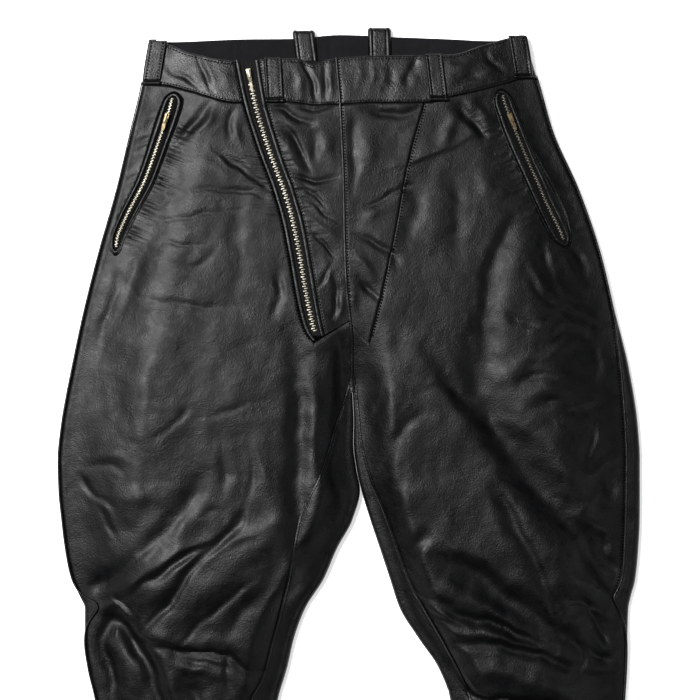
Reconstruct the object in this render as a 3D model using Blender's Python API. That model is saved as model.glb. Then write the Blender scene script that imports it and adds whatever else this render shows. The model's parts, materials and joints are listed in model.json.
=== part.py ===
"""Leather jodhpurs laid flat on their back: front up, waist towards +Y, wearer's left towards +X.

Metres, +Z up. The origin is the middle of the garment's box, on the floor. Tables are in millimetres:
"down" is the distance below the top of the back belt loops, "across" the distance from the middle
line, positive to the wearer's left. "Right" and "left" in names are the wearer's.
"""
import math

import bmesh
import bpy
import numpy as np
from mathutils import Matrix, Vector

MM = 0.001
RIGHT, LEFT = -1, 1

# Driving sizes, in millimetres.
GARMENT_LENGTH = 1016.0     # top of the back belt loops to the hem
LEATHER = 1.3               # one layer of leather
BAND_OUT, BAND_IN = -0.5, 1.9   # waistband's two faces, as depths under the garment's outer surface
SEAM_GAP = 0.3              # between pieces that are sewn side by side, or lie on each other
BAND_LIFT = 2.4             # back waistband above the floor, which leaves room for its belt loops
LIFT_FADE = (60.0, 125.0)   # where that lift ends, down the seat
BAND_SEAM = 70.0            # mean level of the front waistband's lower seam
CROTCH = 379.0
FORK = 332.0                # level of the front zip's end and of the inset's tip
RISE = 85.0                 # how far inside a folded edge the top sheet reaches its full height
INNER_RISE = 60.0
FOLD_EDGE = 22.0            # folds die away this close to a folded edge
INSEAM_CLEAR = 0.8          # inseam clear of the inner fold
FACING = 1.0
FACING_ENDS = (-201.0, 178.0)   # across
FACING_MARGINS = (1.5, 1.0)     # below the waistband's top edge, above its seam
LOOP_LEATHER = 1.5
LOOP_BULGE = 1.2
LOOP_OVER, LOOP_UNDER = 0.5, 1.5   # a front loop's ends past the waistband's top edge and seam
BACK_LOOP_START, BACK_LOOP_END = 56.0, 34.0   # sewn ends: below the waistband outside, on the facing inside
BACK_LOOP_FLAT = (30.0, 22.0)   # where its two faces start to run level
LOOP_FLOOR_CLEAR = 0.1
WELT_LEATHER = 1.3
FLY_WELT = (-0.9, 1.0)      # the fly welts' two faces, as depths
TAPE = 0.8
TAPE_DEPTH = 0.6            # fly tape's face under the garment's outer surface
TEETH_WIDTH, TEETH_HEIGHT = 4.6, 1.0
ZIP_HALF_SLOT = 4.6
PIPING_WIDTH, PIPING_HEIGHT = 2.4, 1.5
PIPING_SIDE, PIPING_CROWN = 0.35, 0.45   # its height at the sides and its flat crown's width, as shares
TUCK_CLEAR, TUCK_DOWN, TUCK_SPREAD = 0.6, 622.0, 22.0   # cord stands prouder where the flare tucks in
POCKET_CLEAR = 0.6          # pockets over the fronts, whose points lie further apart
POCKET_END = 7.0            # welt beyond each end of the slot
BAND_OVERLAP = 3.0          # the waistband's side joins lie this far on the top sheet

# Levels of the rows of points down the fronts and backs.
UPPER_LEVELS = (70, 92, 114, 136, 158, 180, 202, 224, 246, 268, 289, 308, 321, 332, 354, 376)
LOWER_LEVELS = (381, 401, 421, 441, 461, 481, 501, 522, 543, 564, 585, 605, 625, 645, 665, 685)
CALF_LEVELS = (698, 712, 745, 790, 845, 900, 960, 1016)
KNEE_SEAM = {RIGHT: 712, LEFT: 698}

# The two outer edges, and the size of the fold there.
EDGE_COLUMNS = ("down", "right_edge", "left_edge", "fold_radius", "bulge")
EDGES = (
    (0, -208, 186, 5.0, 5.0),
    (30, -213.5, 192, 5.0, 6.0),
    (60, -218, 201, 5.2, 8.0),
    (108, -229.5, 215, 5.5, 11.0),
    (171, -244.5, 243, 5.8, 13.0),
    (234, -262.5, 265, 6.0, 15.0),
    (297, -278.5, 281, 6.0, 17.0),
    (360, -292.0, 296.5, 6.2, 19.0),
    (423, -303.5, 306, 6.5, 20.0),
    (455, -306.4, 307.8, 6.5, 20.0),
    (487, -305.5, 307.8, 6.5, 21.0),
    (518, -302.5, 307.6, 6.5, 22.0),
    (550, -298.5, 306, 6.5, 23.0),
    (581, -292.0, 302.9, 6.3, 23.0),
    (600, -283.5, 298, 6.0, 22.0),
    (612, -278.5, 295.6, 6.0, 21.0),
    (644, -278.5, 294.5, 6.0, 20.0),
    (675, -274.5, 293.5, 6.0, 18.0),
    (707, -267.0, 291.5, 6.0, 16.0),
    (760, -259.0, 288, 5.8, 14.0),
    (850, -253.0, 285, 5.5, 12.0),
    (1016, -251.0, 284, 5.5, 9.0),
)

# The centre front seam down to the crotch, then the inner edges of the legs.
INNER_COLUMNS = ("down", "right_inner", "left_inner", "corner_radius", "split")
INNERS = (
    (30, -12.3, -12.3, 2.2, 0.0),
    (80, -8.2, -8.2, 2.2, 0.0),
    (153, -4.7, -4.7, 2.2, 0.0),
    (245, -2.6, -2.6, 2.2, 0.0),
    (286, -0.2, -0.2, 2.2, 0.12),
    (318, 3.6, 3.6, 2.2, 0.3),
    (350, 4.4, 4.4, 2.2, 0.7),
    (379, 4.2, 4.2, 2.2, 1.0),
    (415, 5.6, 5.6, 4.0, 1.0),
    (437, 5.2, 5.2, 5.0, 1.0),
    (466, 8.6, 8.6, 5.6, 1.0),
    (487, 12.4, 13.4, 6.0, 1.0),
    (518, 4.5, 22.6, 6.0, 1.0),
    (549, -12.0, 33.0, 6.0, 1.0),
    (581, -26.0, 43.6, 6.0, 1.0),
    (612, -45.5, 54.0, 6.0, 1.0),
    (644, -57.5, 74.0, 6.0, 1.0),
    (675, -64.6, 95.0, 6.0, 1.0),
    (707, -74.0, 107.0, 6.0, 1.0),
    (760, -82.0, 114.0, 5.8, 1.0),
    (850, -86.0, 117.0, 5.5, 1.0),
    (1016, -85.0, 118.0, 5.5, 1.0),
)

# The inseams, where they lie on the top sheet.
INSEAM_COLUMNS = ("down", "right_inseam", "left_inseam")
INSEAMS = (
    (379, 1.0, 7.0),
    (422, -13.0, 11.0),
    (441, -18.5, 13.5),
    (474, -30.0, 22.6),
    (509, -48.0, 37.3),
    (554, -57.0, 53.0),
    (591, -64.6, 68.0),
    (646, -78.5, 98.2),
    (686, -90.0, 119.0),
    (706, -100.8, 127.6),
    (760, -112.0, 138.0),
    (850, -116.0, 142.0),
    (1016, -115.0, 142.0),
)

# The outseams, as a walk round the outer fold: 0 where the top sheet ends, negative on it.
OUTSEAM_COLUMNS = ("down", "right_walk", "left_walk")
OUTSEAMS = (
    (50, 7.5, 7.0),
    (200, 7.5, 6.0),
    (287, 7.0, 4.4),
    (361, 7.0, -3.4),
    (426, 6.5, -8.0),
    (475, 6.5, -8.7),
    (528, 6.5, -9.3),
    (573, 6.5, -8.6),
    (605, 5.0, -4.0),
    (630, 6.5, 4.0),
    (665, 7.0, 6.0),
    (1016, 7.0, 6.0),
)

# The slanting front zip, and the inset's slanting seam.
FLY_COLUMNS = ("down", "outer", "teeth", "inner")
FLY = (
    (30, -120.0, -108.0, -95.0),
    (80, -109.7, -98.0, -86.5),
    (130, -94.0, -83.0, -72.0),
    (175, -77.5, -66.5, -56.0),
    (203, -69.5, -58.5, -47.8),
    (240, -62.0, -51.0, -40.5),
    (280, -55.0, -44.2, -33.5),
    (312, -47.6, -37.4, -27.6),
    (322, -43.4, -34.6, -25.0),
    (332, -35.5, -31.0, -22.0),
)
INSET_COLUMNS = ("down", "inset_seam")
INSET = (
    (78, 80.0),
    (144, 62.0),
    (217, 48.5),
    (277, 35.0),
    (332, 21.0),
)

# Waistband edges, as lines across the garment.
BAND_FRONT_COLUMNS = ("across", "top", "seam")
BAND_FRONT = (
    (-216, 12.0, 58.0),
    (-195, 15.5, 60.0),
    (-165, 27.0, 67.5),
    (-118, 35.2, 79.5),
    (-68, 32.8, 78.6),
    (-53, 33.0, 80.0),
    (-37, 39.0, 81.8),
    (-24, 34.2, 82.0),
    (-8, 32.0, 81.4),
    (24, 29.8, 79.6),
    (80, 29.2, 79.5),
    (108, 28.5, 73.0),
    (141, 18.5, 65.0),
    (177, 9.0, 54.5),
    (196, 7.4, 49.0),
)
BAND_BACK_COLUMNS = ("across", "top", "seam")
BAND_BACK = (
    (-214, 12.0, 58.0),
    (-190, 13.5, 57.5),
    (-110, 10.6, 56.0),
    (-60, 10.1, 55.0),
    (-9, 6.0, 54.0),
    (47, 8.2, 53.0),
    (108, 10.6, 51.5),
    (151, 12.5, 50.0),
    (196, 7.4, 49.0),
)

# Pocket openings: the middle line and the half width of the welts.
POCKET_COLUMNS = ("down", "middle", "half_width")
POCKETS = {
    RIGHT: (
        (67, -184.0, 6.5),
        (77, -186.0, 10.5),
        (99, -192.0, 12.0),
        (127, -200.5, 12.0),
        (155, -210.0, 11.8),
        (180, -221.0, 11.5),
        (203, -233.0, 11.0),
        (224, -241.0, 9.8),
        (240, -245.0, 6.0),
    ),
    LEFT: (
        (64, 160.5, 6.5),
        (77, 164.0, 11.0),
        (110, 176.0, 12.5),
        (148, 193.0, 13.0),
        (186, 210.0, 13.5),
        (214, 222.0, 12.0),
        (232, 229.0, 6.5),
    ),
}

# Belt loops on the front: name, side, across at the top, across at the seam, half width.
LOOPS = (
    ("loop_side_right", RIGHT, -200.0, -207.5, 9.0),
    ("loop_fly", RIGHT, -79.6, -76.8, 9.2),
    ("loop_front_left", LEFT, 89.2, 95.0, 9.0),
    ("loop_side_left", LEFT, 177.5, 185.0, 9.4),
)
# Belt loops on the back: name, down at the top, across there and at the inner end, half width.
BACK_LOOPS = (
    ("loop_back_right", 3.0, -48.0, -43.5, 10.6),
    ("loop_back_left", 0.0, 32.5, 33.5, 11.0),
)

# Largest folds of the leather: a curved line from, through and to (across, down), its height
# (negative for a trough) and its half width.
FOLDS = (
    # wearer's right thigh and knee
    ((-262, 596), (-205, 537), (-150, 498), 5.5, 15),
    ((-238, 604), (-185, 562), (-130, 533), 5.0, 14),
    ((-212, 634), (-150, 556), (-70, 520), 6.5, 16),
    ((-182, 655), (-158, 624), (-105, 582), -5.0, 14),
    ((-232, 572), (-190, 515), (-158, 470), -4.5, 16),
    ((-252, 606), (-226, 648), (-180, 652), -6.5, 12),
    ((-180, 652), (-128, 652), (-92, 684), -5.5, 12),
    ((-228, 646), (-200, 672), (-194, 730), -6.0, 13),
    ((-246, 650), (-226, 690), (-224, 740), 4.5, 14),
    ((-160, 668), (-130, 684), (-112, 725), 5.0, 14),
    ((-170, 690), (-165, 745), (-160, 800), 4.0, 18),
    ((-285, 470), (-266, 486), (-240, 488), -2.5, 10),
    ((-120, 300), (-95, 400), (-60, 470), 3.0, 26),
    ((-210, 330), (-225, 400), (-205, 470), 3.0, 30),
    # wearer's left thigh and knee
    ((132, 352), (175, 455), (226, 522), -7.0, 15),
    ((226, 522), (252, 560), (276, 590), -6.5, 13),
    ((160, 488), (200, 560), (228, 640), -4.5, 13),
    ((104, 564), (160, 600), (219, 632), -6.0, 14),
    ((110, 650), (160, 662), (214, 652), 6.5, 14),
    ((124, 664), (185, 682), (246, 682), -5.5, 12),
    ((214, 640), (250, 636), (280, 622), 5.0, 13),
    ((230, 660), (258, 676), (266, 730), -4.5, 12),
    ((140, 690), (190, 702), (240, 712), 4.5, 14),
    ((200, 545), (232, 585), (262, 604), 4.0, 12),
    ((240, 470), (262, 500), (285, 512), -3.0, 12),
    ((60, 430), (95, 500), (130, 560), 3.5, 24),
    ((200, 280), (215, 350), (240, 420), 3.5, 30),
    # hips and the middle, soft
    ((-160, 130), (-150, 200), (-165, 270), 2.0, 28),
    ((110, 110), (120, 190), (150, 260), 2.0, 30),
    ((10, 340), (60, 380), (110, 400), -2.5, 20),
    ((0, 350), (-50, 380), (-90, 380), -2.0, 20),
    # below the photo's edge: a few soft ones down the calves
    ((-215, 780), (-180, 810), (-120, 820), 3.0, 18),
    ((-210, 880), (-170, 890), (-120, 900), -2.5, 18),
    ((160, 780), (200, 800), (250, 800), 3.0, 18),
    ((150, 870), (200, 895), (250, 890), -2.5, 18),
)
FOLD_SAMPLES = 9
FOLD_TAPER = (0.08, 0.84)   # start and length of the half sine by which a fold fades at its ends

# Zip sliders and their pull tabs, in millimetres.
SLIDER_LENGTH, SLIDER_WIDTH, SLIDER_HEIGHT = 11.0, 7.2, 2.0
EAR_LENGTH, EAR_WIDTH, EAR_HEIGHT = 3.4, 1.2, 2.6
BARREL_RADIUS, BARREL_WIDTH = 0.8, 2.6
AXIS_HEIGHT = 1.5           # above the slider's top
TAB_LENGTH, TAB_WIDTH, TAB_THICKNESS, TAB_NECK = 19.5, 4.4, 1.0, 7.0
TAB_DROOP = math.radians(7.0)
NECK_SIDE, NECK_SHARE = 0.3, 0.8   # neck narrower than the barrel on each side, thinner than the blade
JOINED = 0.5                # how far the solids of one casting run into each other
SLIDER_CORNER, TAB_CORNER = 2.2, 1.8
PULL_SIDES = 24
FLY_SLIDER_DOWN, POCKET_SLIDER_DOWN = 50.0, 96.0

# Material: colour, roughness, metallic.
FINISHES = {
    "leather": ((0.018, 0.019, 0.02), 0.42, 0.0),
    "cotton": ((0.012, 0.012, 0.014), 0.9, 0.0),
    "zip_tape": ((0.02, 0.02, 0.02), 0.8, 0.0),
    "nickel": ((0.72, 0.68, 0.58), 0.3, 1.0),
}


def smooth(t):
    """0 to 1 with level ends."""
    t = np.clip(t, 0.0, 1.0)
    return t * t * (3.0 - 2.0 * t)


def line_through(knots, values):
    """Smooth function through the points of a table, with no overshoot, level beyond its ends."""
    knots = np.array(knots, float)
    values = np.array(values, float)
    steps = np.diff(knots)
    rates = np.diff(values) / steps
    same_way = rates[:-1] * rates[1:] > 0.0
    both = np.where(same_way, rates[:-1] + rates[1:], 1.0)
    slopes = np.concatenate([rates[:1], np.where(same_way, 2 * rates[:-1] * rates[1:] / both, 0.0), rates[-1:]])

    def at(value):
        value = np.clip(np.asarray(value, float), knots[0], knots[-1])
        i = np.clip(np.searchsorted(knots, value, side="right") - 1, 0, len(steps) - 1)
        step = steps[i]
        t = (value - knots[i]) / step
        near = (1 + 2 * t) * (1 - t) ** 2 * values[i] + t * (1 - t) ** 2 * step * slopes[i]
        far = t * t * (3 - 2 * t) * values[i + 1] + t * t * (t - 1) * step * slopes[i + 1]
        return near + far

    return at


def lines_of(columns, rows):
    """One smooth line for each named column of a table, against its first column."""
    table = list(zip(*rows))
    return {name: line_through(table[0], table[k]) for k, name in enumerate(columns) if k}


EDGE_LINES = lines_of(EDGE_COLUMNS, EDGES)
INNER_LINES = lines_of(INNER_COLUMNS, INNERS)
INSEAM_LINES = lines_of(INSEAM_COLUMNS, INSEAMS)
OUTSEAM_LINES = lines_of(OUTSEAM_COLUMNS, OUTSEAMS)
FLY_LINES = lines_of(FLY_COLUMNS, FLY)
INSET_LINES = lines_of(INSET_COLUMNS, INSET)
BAND_FRONT_LINES = lines_of(BAND_FRONT_COLUMNS, BAND_FRONT)
BAND_BACK_LINES = lines_of(BAND_BACK_COLUMNS, BAND_BACK)
POCKET_LINES = {side: lines_of(POCKET_COLUMNS, rows) for side, rows in POCKETS.items()}

radius = EDGE_LINES["fold_radius"]
bulge = EDGE_LINES["bulge"]
split = INNER_LINES["split"]


def outer_edge(side, down):
    return EDGE_LINES["right_edge" if side == RIGHT else "left_edge"](down)


def inner_edge(side, down):
    """Centre seam above the crotch, the leg's inner edge below it, half a seam gap clear of the other leg."""
    line = INNER_LINES["right_inner" if side == RIGHT else "left_inner"](down)
    return line + side * SEAM_GAP / 2


def inseam(side, down):
    """Where the front ends below the crotch: on the top sheet, clear of the inner fold."""
    line = INSEAM_LINES["right_inseam" if side == RIGHT else "left_inseam"](down)
    clear = inner_edge(side, down) + side * (inner_corner(down) + INSEAM_CLEAR)
    return np.maximum(line, clear) if side == LEFT else np.minimum(line, clear)


def outseam_walk(side, down):
    return OUTSEAM_LINES["right_walk" if side == RIGHT else "left_walk"](down)


def inner_corner(down):
    return np.minimum(INNER_LINES["corner_radius"](down), radius(down))


def lift(down):
    """Height of the back above the floor, only under the waistband."""
    begin, end = LIFT_FADE
    return BAND_LIFT * (1.0 - smooth((np.asarray(down, float) - begin) / (end - begin)))


def fold_height(across, down):
    """Sum of the large folds at a point of the top sheet."""
    total = np.zeros(np.broadcast(across, down).shape)
    fade, length = FOLD_TAPER
    for begin, through, end, height, width in FOLDS:
        t = np.linspace(0.0, 1.0, FOLD_SAMPLES)[:, None]
        bend = 2 * np.array(through, float) - (np.array(begin) + np.array(end)) / 2
        path = (1 - t) ** 2 * np.array(begin) + 2 * t * (1 - t) * bend + t * t * np.array(end)
        best = np.full(total.shape, np.inf)
        taper = np.zeros(total.shape)
        for k in range(FOLD_SAMPLES - 1):
            run = path[k + 1] - path[k]
            along = ((across - path[k, 0]) * run[0] + (down - path[k, 1]) * run[1]) / (run @ run)
            along = np.clip(along, 0.0, 1.0)
            gap_x = across - path[k, 0] - along * run[0]
            gap_y = down - path[k, 1] - along * run[1]
            gap = gap_x ** 2 + gap_y ** 2
            nearer = gap < best
            best = np.where(nearer, gap, best)
            share = (k + along) / (FOLD_SAMPLES - 1)
            taper = np.where(nearer, np.sin(math.pi * (fade + length * share)), taper)
        total = total + height * taper * np.exp(-best / width ** 2)
    return total


def top_height(side, across, down):
    """Height of the top sheet's outer surface above the floor."""
    from_edge = side * (outer_edge(side, down) - across) - radius(down)
    from_inner = side * (across - inner_edge(side, down)) - inner_corner(down)
    valley = 1.0 - split(down) * (1.0 - smooth(from_inner / INNER_RISE))
    hump = smooth(from_edge / RISE) * valley
    calm = smooth(from_edge / FOLD_EDGE) * (1.0 - split(down) * (1.0 - smooth(from_inner / FOLD_EDGE)))
    return 2 * radius(down) + lift(down) + bulge(down) * hump + fold_height(across, down) * calm


def stretch(side, across, down):
    """How much steeper than level the top sheet is, so that a depth is measured square to it."""
    step = 0.5
    slope_x = (top_height(side, across + step, down) - top_height(side, across - step, down)) / (2 * step)
    slope_y = (top_height(side, across, down + step) - top_height(side, across, down - step)) / (2 * step)
    return np.sqrt(1.0 + slope_x ** 2 + slope_y ** 2)


def placed(across, down, height):
    """Points in metres from across, down and height in millimetres."""
    across, down, height = np.broadcast_arrays(across, down, height)
    return np.stack([across, GARMENT_LENGTH / 2 - down, height], axis=-1) * MM


def on_top(side, across, down, depth):
    """Point of the top sheet, depth under its outer surface."""
    across, down = np.broadcast_arrays(np.asarray(across, float), np.asarray(down, float))
    height = top_height(side, across, down) - depth * stretch(side, across, down)
    return placed(across, down, height)


def round_fold(side, edge, outward, corner, down, walk, depth):
    """Point after walking round a folded edge: on the top sheet before 0, on the floor past the fold."""
    height = 2 * radius(down)
    bend = math.pi / 2 * corner
    straight = height - 2 * corner
    turn_top = np.clip(walk, 0.0, bend) / corner
    turn_low = np.clip(walk - bend - straight, 0.0, bend) / corner
    angle = turn_top + turn_low
    fallen = np.clip(walk - bend, 0.0, straight)
    beyond = np.maximum(walk - 2 * bend - straight, 0.0) + np.maximum(-walk, 0.0)
    inset = corner - (corner - depth) * np.sin(angle) + beyond
    across = edge - outward * inset
    arc = lift(down) + height - corner + (corner - depth) * np.cos(angle) - fallen
    top = top_height(side, across, down) - depth * stretch(side, across, down)
    return placed(across, down, np.where(walk < 0.0, top, arc))


def outer_walk(side, down, walk, depth):
    return round_fold(side, outer_edge(side, down), side, radius(down), down, walk, depth)


def inner_walk(side, down, walk, depth):
    return round_fold(side, inner_edge(side, down), -side, inner_corner(down), down, walk, depth)


def walk_to(side, across, down):
    """Walk round the outer fold that ends at a point of the top sheet."""
    return -(side * (outer_edge(side, down) - across) - radius(down))


# ---------------------------------------------------------------- meshes

def material(finish):
    found = bpy.data.materials.get(finish)
    if found:
        return found
    colour, roughness, metallic = FINISHES[finish]
    made = bpy.data.materials.new(finish)
    made.use_nodes = True
    shader = made.node_tree.nodes["Principled BSDF"]
    shader.inputs["Base Color"].default_value = (*colour, 1.0)
    shader.inputs["Roughness"].default_value = roughness
    shader.inputs["Metallic"].default_value = metallic
    return made


def new_object(name, mesh, finish, collection):
    mesh.materials.clear()
    mesh.materials.append(material(finish))
    made = bpy.data.objects.new(name, mesh)
    collection.objects.link(made)
    return made


def wall(name, outer, inner, finish, collection, present=None):
    """Closed wall between two like grids of points; present says which cells of the grid it has."""
    rows, columns = outer.shape[:2]
    if present is None:
        present = np.ones((rows - 1, columns - 1), bool)
    work = bmesh.new()
    faces = {}
    for face, grid in enumerate((outer, inner)):
        for i in range(rows):
            for j in range(columns):
                if present[max(i - 1, 0):i + 1, max(j - 1, 0):j + 1].any():
                    faces[face, i, j] = work.verts.new(grid[i, j])
    rim = {}
    for i, j in zip(*np.nonzero(present)):
        corners = ((i, j), (i + 1, j), (i + 1, j + 1), (i, j + 1))
        points = [outer[c] for c in corners]
        if np.linalg.norm(points[0] - points[2]) > np.linalg.norm(points[1] - points[3]):
            corners = corners[1:] + corners[:1]
        for face in (0, 1):
            for picked in ((0, 1, 2), (0, 2, 3)):
                ring = [faces[(face, *corners[k])] for k in picked]
                work.faces.new(ring if face == 0 else ring[::-1])
        for k in range(4):
            step = (corners[k], corners[(k + 1) % 4])
            if step[::-1] in rim:
                del rim[step[::-1]]
            else:
                rim[step] = True
    for a, b in rim:
        work.faces.new((faces[(1, *a)], faces[(1, *b)], faces[(0, *b)]))
        work.faces.new((faces[(1, *a)], faces[(0, *b)], faces[(0, *a)]))
    bmesh.ops.recalc_face_normals(work, faces=work.faces)
    mesh = bpy.data.meshes.new(name)
    work.to_mesh(mesh)
    work.free()
    mesh.shade_smooth()
    mesh.set_sharp_from_angle(angle=math.radians(50.0))
    return new_object(name, mesh, finish, collection)


def between(start, end, count):
    """Columns of points shared out evenly between two columns."""
    share = np.linspace(0.0, 1.0, count + 1)
    return start[:, None] * (1 - share) + end[:, None] * share


# ---------------------------------------------------------------- fronts, backs and calves

SIDE_NAMES = {RIGHT: "right", LEFT: "left"}
ROWS_SAG = 150.0            # rows of points run level this far below the waistband's seam
MIDDLE_SPREAD = 130.0       # and share the front's width evenly this far below the fork
FORK_CLIMB = {RIGHT: 24.0, LEFT: 20.0}   # rows climb so much from the fork to the centre seam
CROTCH_STEP = 4.0           # where the centre seam turns into the inseam
EDGE_COLUMN, TOP_COLUMN = 4.0, 9.0       # least walks of the second and third column from the outseam
PANEL_ROWS, PANEL_CELLS = 13, 5
PANEL_START, FLY_TIP, PANEL_TIP_GAP = (80.0, 82.0), 322.0, 1.0
EDGE_CELLS = 2
OUTER_CELLS, INNER_CELLS = 11, 3
BACK_FOLD_CELLS = {RIGHT: 4, LEFT: 7}
FLOOR_CELLS, INNER_FOLD_CELLS, STRIP_CELLS = 3, 5, 2


def fork_across(side):
    """Where the fly or the inset ends, seen across."""
    if side == RIGHT:
        return float(FLY_LINES["outer"](FORK))
    return float(INSET_LINES["inset_seam"](FORK))


def middle_line(side, down):
    """Edge of the fly or of the inset, and below them a line inside the front."""
    if side == RIGHT:
        seam = FLY_LINES["outer"](down) - SEAM_GAP / 2
    else:
        seam = INSET_LINES["inset_seam"](down) + SEAM_GAP / 2
    width = front_end(side, down) - outer_edge(side, down)
    forked = fork_across(side) + side * SEAM_GAP / 2
    start = (forked - outer_edge(side, FORK)) / (front_end(side, FORK) - outer_edge(side, FORK))
    usual = OUTER_CELLS / (OUTER_CELLS + INNER_CELLS)
    share = start + (usual - start) * smooth((down - FORK) / MIDDLE_SPREAD)
    return np.where(down <= FORK, seam, outer_edge(side, down) + share * width)


def front_end(side, down):
    """Inner end of the front: the centre seam above the crotch, the inseam below it."""
    t = smooth((np.asarray(down, float) - CROTCH + CROTCH_STEP - 1.0) / CROTCH_STEP)
    return inner_edge(side, down) * (1 - t) + inseam(side, np.maximum(down, CROTCH)) * t


def row_down(level, across, band):
    """Down along a row: it follows a waistband's seam at the top and runs level from the hips."""
    sag = 1.0 - smooth((level - BAND_SEAM) / ROWS_SAG)
    return level + (band["seam"](across) + SEAM_GAP / 2 - BAND_SEAM) * sag


def side_down(side, level):
    """The same along the outer fold, where front and back meet."""
    return row_down(level, outer_edge(side, level), BAND_BACK_LINES)


def front_grid(side, levels):
    """Downs and walks of a front's points, and the row where its inner part begins."""
    fork = int(np.searchsorted(levels, FORK))
    seam = outseam_walk(side, levels) - SEAM_GAP / 2
    second = np.minimum(seam * 0.5, seam - EDGE_COLUMN)
    third = np.minimum(0.0, seam - TOP_COLUMN)
    middle_downs = row_down(levels, middle_line(side, levels), BAND_FRONT_LINES)
    middle = walk_to(side, middle_line(side, middle_downs), middle_downs)
    walks = np.column_stack([seam, second, between(third, middle, OUTER_CELLS)])
    downs = levels[:, None] + 0.0 * walks
    for _ in range(4):
        across = outer_edge(side, downs) - side * (radius(downs) - walks)
        downs = row_down(levels[:, None], across, BAND_FRONT_LINES)
    downs[:, :EDGE_CELLS] = side_down(side, levels)[:, None]
    downs[:, -1] = middle_downs
    # rows climb from the fork to the centre seam, along the end of the fly or of the inset
    climb = FORK_CLIMB[side] * (1.0 - smooth((levels - FORK) / (CROTCH - FORK - CROTCH_STEP)))
    inner_downs = between(levels, levels - climb, INNER_CELLS)[:, 1:]
    near = middle_line(side, levels)
    far = front_end(side, levels - climb)
    inner_across = between(near, far, INNER_CELLS)[:, 1:]
    inner_downs[fork] += SEAM_GAP / 2
    inner_walks = walk_to(side, inner_across, inner_downs)
    return np.column_stack([downs, inner_downs]), np.column_stack([walks, inner_walks]), fork


def front(side, collection):
    """One front, from the outseam to the fly or the inset, and below them to the centre seam and inseam."""
    levels = np.array(UPPER_LEVELS + LOWER_LEVELS + CALF_LEVELS, float)
    downs, walks, fork = front_grid(side, levels)
    present = np.ones((len(levels) - 1, walks.shape[1] - 1), bool)
    present[:fork, EDGE_CELLS + OUTER_CELLS:] = False
    grids = [outer_walk(side, downs, walks, depth) for depth in (0.0, LEATHER)]
    return wall(f"front_{SIDE_NAMES[side]}", *grids, "leather", collection, present)


def back_grids(side, levels, depth):
    """Back from the outseam round the outer fold, along the floor and up the inner fold to the inseam."""
    seam = outseam_walk(side, levels) + SEAM_GAP / 2
    fold_end = math.pi * radius(levels)
    walks = between(seam, fold_end, BACK_FOLD_CELLS[side])
    outer = outer_walk(side, side_down(side, levels)[:, None] + 0.0 * walks, walks, depth)
    corner = inner_corner(levels)
    length = math.pi * corner + 2 * (radius(levels) - corner)
    strip = side * (inseam(side, levels) - inner_edge(side, levels)) - corner - SEAM_GAP
    inner_walks = np.column_stack([between(length, 0.0 * length, INNER_FOLD_CELLS),
                                   between(0.0 * length, -strip, STRIP_CELLS)[:, 1:]])
    inner = inner_walk(side, levels[:, None] + 0.0 * inner_walks, inner_walks, depth)
    start = outer[:, -1, 0] / MM
    end = np.where(levels < CROTCH, inner_edge(side, levels), inner[:, 0, 0] / MM)
    across = between(start, end, FLOOR_CELLS)[:, 1:]
    downs = row_down(levels[:, None], across, BAND_BACK_LINES)
    floor = placed(across, downs, lift(downs) + depth)
    return np.concatenate([outer, floor, inner[:, 1:]], axis=1)


def back_piece(name, side, levels, collection):
    levels = np.array(levels, float)
    grids = [back_grids(side, levels, depth) for depth in (0.0, LEATHER)]
    present = np.ones((len(levels) - 1, grids[0].shape[1] - 1), bool)
    present[levels[:-1] < CROTCH, BACK_FOLD_CELLS[side] + FLOOR_CELLS:] = False
    return wall(name, *grids, "leather", collection, present)


def back_and_calf(side, collection):
    levels = UPPER_LEVELS + LOWER_LEVELS + CALF_LEVELS
    seam = KNEE_SEAM[side]
    upper = [level for level in levels if level < seam] + [seam - SEAM_GAP / 2]
    lower = [seam + SEAM_GAP / 2] + [level for level in levels if level > seam]
    back_piece(f"back_{SIDE_NAMES[side]}", side, upper, collection)
    back_piece(f"calf_{SIDE_NAMES[side]}", side, lower, collection)


# ---------------------------------------------------------------- the slanting fly and the inset

def panel_between(name, side, left_line, right_line, left_downs, right_downs, collection):
    """Panel of the top sheet between two seam lines, each with its own downs."""
    left_across = left_line(left_downs)
    right_across = right_line(right_downs)
    share = np.linspace(0.0, 1.0, PANEL_CELLS + 1)
    across = left_across[:, None] * (1 - share) + right_across[:, None] * share
    downs = left_downs[:, None] * (1 - share) + right_downs[:, None] * share
    downs[0] = BAND_FRONT_LINES["seam"](across[0]) + SEAM_GAP / 2
    grids = [on_top(side, across, downs, depth) for depth in (0.0, LEATHER)]
    return wall(name, *grids, "leather", collection)


def fly_panel(collection):
    half = SEAM_GAP / 2
    left = np.linspace(PANEL_START[0], FLY_TIP, PANEL_ROWS)
    right = np.linspace(PANEL_START[1], FORK - FORK_CLIMB[RIGHT] - PANEL_TIP_GAP, PANEL_ROWS)
    panel_between("fly_panel", RIGHT, lambda d: FLY_LINES["inner"](d) + half,
                  lambda d: inner_edge(RIGHT, d), left, right, collection)


def front_left_inset(collection):
    half = SEAM_GAP / 2
    left = np.linspace(PANEL_START[1], FORK - FORK_CLIMB[LEFT] - PANEL_TIP_GAP, PANEL_ROWS)
    right = np.linspace(PANEL_START[0], FORK - PANEL_TIP_GAP, PANEL_ROWS)
    panel_between("front_left_inset", LEFT, lambda d: inner_edge(LEFT, d),
                  lambda d: INSET_LINES["inset_seam"](d) - half, left, right, collection)


def strip(name, side, left_line, right_line, downs, shell, finish, collection):
    """Narrow strip of the top sheet between two lines; shell is its two depths."""
    share = np.linspace(0.0, 1.0, 3)
    across = left_line(downs)[:, None] * (1 - share) + right_line(downs)[:, None] * share
    rows = downs[:, None] + 0.0 * across
    grids = [on_top(side, across, rows, depth) for depth in shell]
    return wall(name, *grids, finish, collection)


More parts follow.
